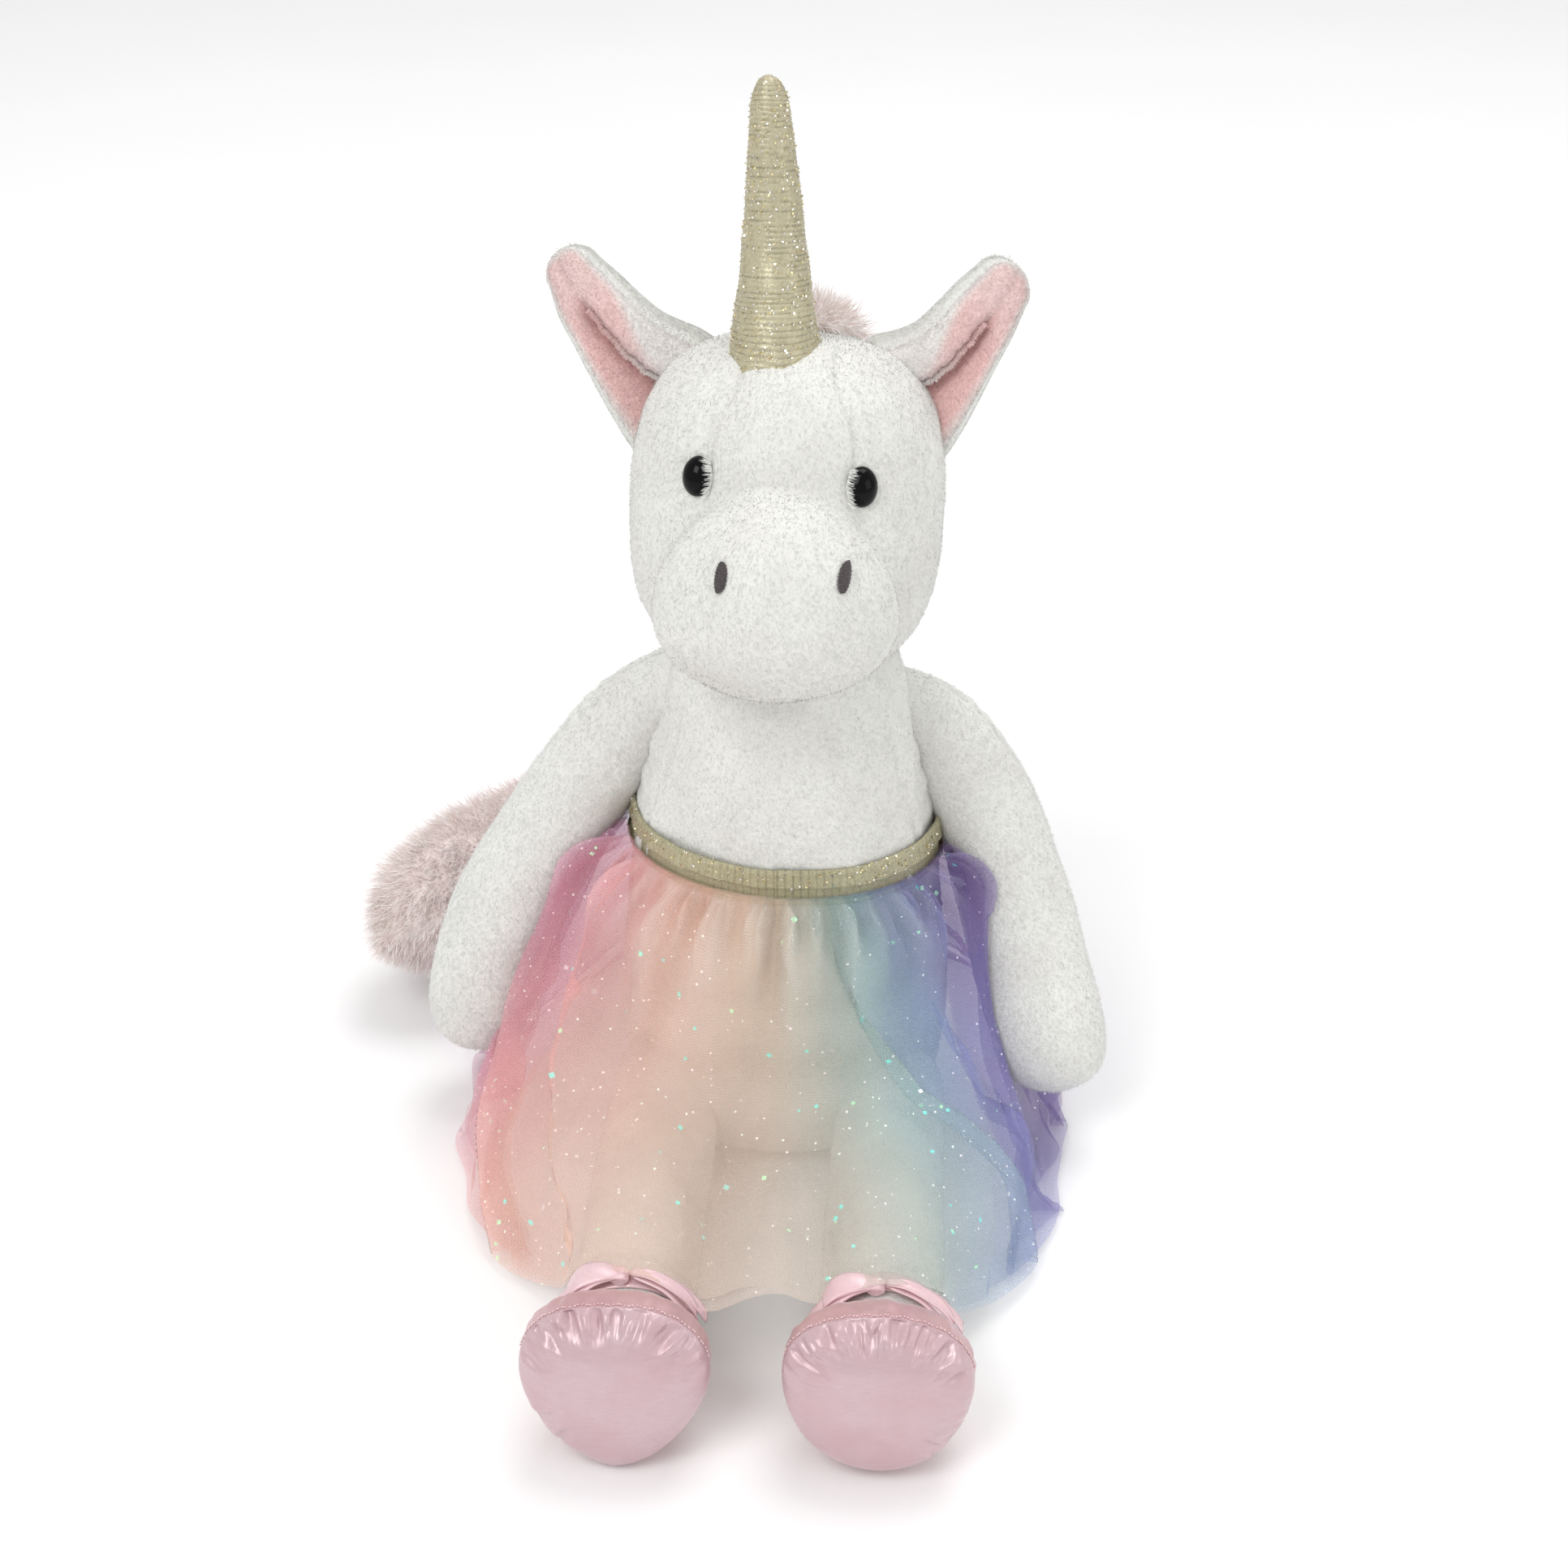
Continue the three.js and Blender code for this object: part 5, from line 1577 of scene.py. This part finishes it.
def make_skirt():
    nu, nv = COLUMNS, ROWS
    u, t = np.meshgrid(np.arange(nu) / nu, np.linspace(0, 1, nv), indexing="ij")
    fine_u, fine_t = np.meshgrid(np.arange(2 * nu) / (2 * nu), np.linspace(0, 1, nv), indexing="ij")
    quads = grid(2 * nu, nv, True)
    for kind, gap, opacity in (("inner", 0.9, 0.27), ("outer", 2.3, 0.36)):
        p, rise = skirt_surface(u, t, kind)
        n = unit(np.cross(np.gradient(p, axis=1), np.roll(p, -1, 0) - np.roll(p, 1, 0)))
        out = n * (pleats(u, t, kind) * (1.0 if kind == "outer" else 1.1) + rise)[..., None]
        p = settle(p + out, gap, 130)
        p = finer(p)
        push_out(p, gap, None)
        flat = p.reshape(-1, 3)
        normal = facing(flat, quads)
        run = np.stack([fine_u.ravel() * FLAT_WIDTH * MM, fine_t.ravel() * FLAT_LENGTH * MM], 1)
        tint = dye(fine_u + (0.0 if kind == "outer" else 0.02), fine_t).reshape(-1, 3)
        # painted shade and light: the tint darkens and deepens in the hollows of the gathers and pales on
        # their crests
        gather_shading = np.clip(gathers(fine_u, fine_t, kind) / 3.2, -1, 1).reshape(-1, 1)
        tint = np.clip(tint, 0, 1) ** (1 - 0.42 * np.minimum(gather_shading, 0)) * (1 + 0.07 * gather_shading)
        tint = tint + (1 - tint) * 0.16 * np.maximum(gather_shading, 0)
        cloth = tulle(f"tulle {kind}", opacity)
        middle = flat[quads].mean(1)
        x, y = middle.T[:2]
        lap = (y < LAP_FRONT) & (np.abs(x) < LAP_HALF)
        side = (y < LAP_FRONT) & ~lap
        parts = {
            f"skirt_{kind}_back": (y >= LAP_FRONT, None),
            f"skirt_{kind}_left_lap": (lap & (x >= 0), ("torso", "left_leg", (0, 0, 0), (30, 0, 0))),
            f"skirt_{kind}_right_lap": (lap & (x < 0), ("torso", "right_leg", (0, 0, 0), (-30, 0, 0))),
            f"skirt_{kind}_left_side": (side & (x >= 0), ("torso", "left_leg", (98, 0, 0), (58, 0, 0))),
            f"skirt_{kind}_right_side": (side & (x < 0),
                                         ("torso", "right_leg", (-102, 0, 0), (-58, 0, 0))),
        }
        for name, (mask, bend) in parts.items():
            q = quads[mask]
            used, back = np.unique(q, return_inverse=True)
            verts, faces = flat[used], back.reshape(-1, 4)
            o = build(name, verts, faces, cloth, normals=normal[used], uv=run[used], tint=tint[used])
            a, b, c, d = (verts[faces[:, k]] for k in range(4))
            area = 0.5 * (np.linalg.norm(np.cross(b - a, c - a), axis=1)
                          + np.linalg.norm(np.cross(c - a, d - a), axis=1)).sum()
            attach(o, "torso" if bend is None else None, bend=bend)
            if bend is None:
                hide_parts(f"skirt_{kind}_tulle")
            if kind == "outer":
                for word, least, most, size, colours, spread, lift in SPECKS:
                    k = max(least, int(most * area / WHOLE_SKIRT))
                    g = flecks(name.replace("outer", word), o, k, size, colours, spread=spread, lift=lift)
                    attach(g, "torso" if bend is None else None, bend=bend)


def make_band():
    around, ring = 640, 22
    a = around_axis(around)
    k = np.linspace(0, 2 * math.pi, ring, endpoint=False)[None, :]
    h = np.sign(np.sin(k)) * np.abs(np.sin(k)) ** 0.3 * 5.7
    w = np.sign(np.cos(k)) * np.abs(np.cos(k)) ** 0.3 * 0.6
    gather = 0.30 * waves(a * 46, 0 * a, 81, 9, 2) * (1 - 0.6 * (h / 5) ** 2)
    z = 98.4 + band_height(a) + h * (1 + 0.05 * np.sin(a + 1)) + 0.35 * waves(a * 46, 0 * a, 82, 40, 2)
    rib = np.abs(np.sin(a * 47 * math.pi / 1.15)) ** 0.7
    r = torso_radius(z) + 1.5 + w + gather + (0.22 * rib + 0.12 * np.sin(h * 4.5)) * (w > 0)
    p = torso_point(a + 0 * k, r, z)
    # painted shade: the gold darkens in the grooves between the ribs, with a little random variation
    shade = 0.66 + 0.34 * smooth(0, 0.6, rib + 0.15 * waves(a * 47, h, 83, 5, 2))
    tint = (arr(srgb(190, 184, 152)[:3]) * (shade + 0 * k)[..., None]).reshape(-1, 3)
    o = build("waistband_lurex", p.reshape(-1, 3), grid(around, ring, True), GOLD_BAND, tint=tint)
    attach(o, "torso", replaces=("skirt_waistband",))
    out = lambda q: (np.hypot(q[:, 0], (q[:, 1] - q[:, 2] * LEAN) / 0.88) > torso_radius(q[:, 2])
                     + 1.3) * 1.0
    attach(flecks("waistband_glitter", o, 700, 0.5, FLECKS[:2], spread=0.5, keep=out),
           "torso")


make_body()
make_head()
make_eyes()
make_nostrils()
make_horn()
make_mane()
make_tail()
for which, hand in (("left", 1), ("right", -1)):
    make_ear(which, hand)
    make_arm(which, hand)
    make_leg(which, hand)
    make_slipper(which, hand)
    make_ribbons(which, hand)
make_skirt()
make_band()

# the stuffed neck is inside the body and the head
neck_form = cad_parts["neck_stuffing"]
neck_form.data.materials.clear()
neck_form.data.materials.append(WHITE)
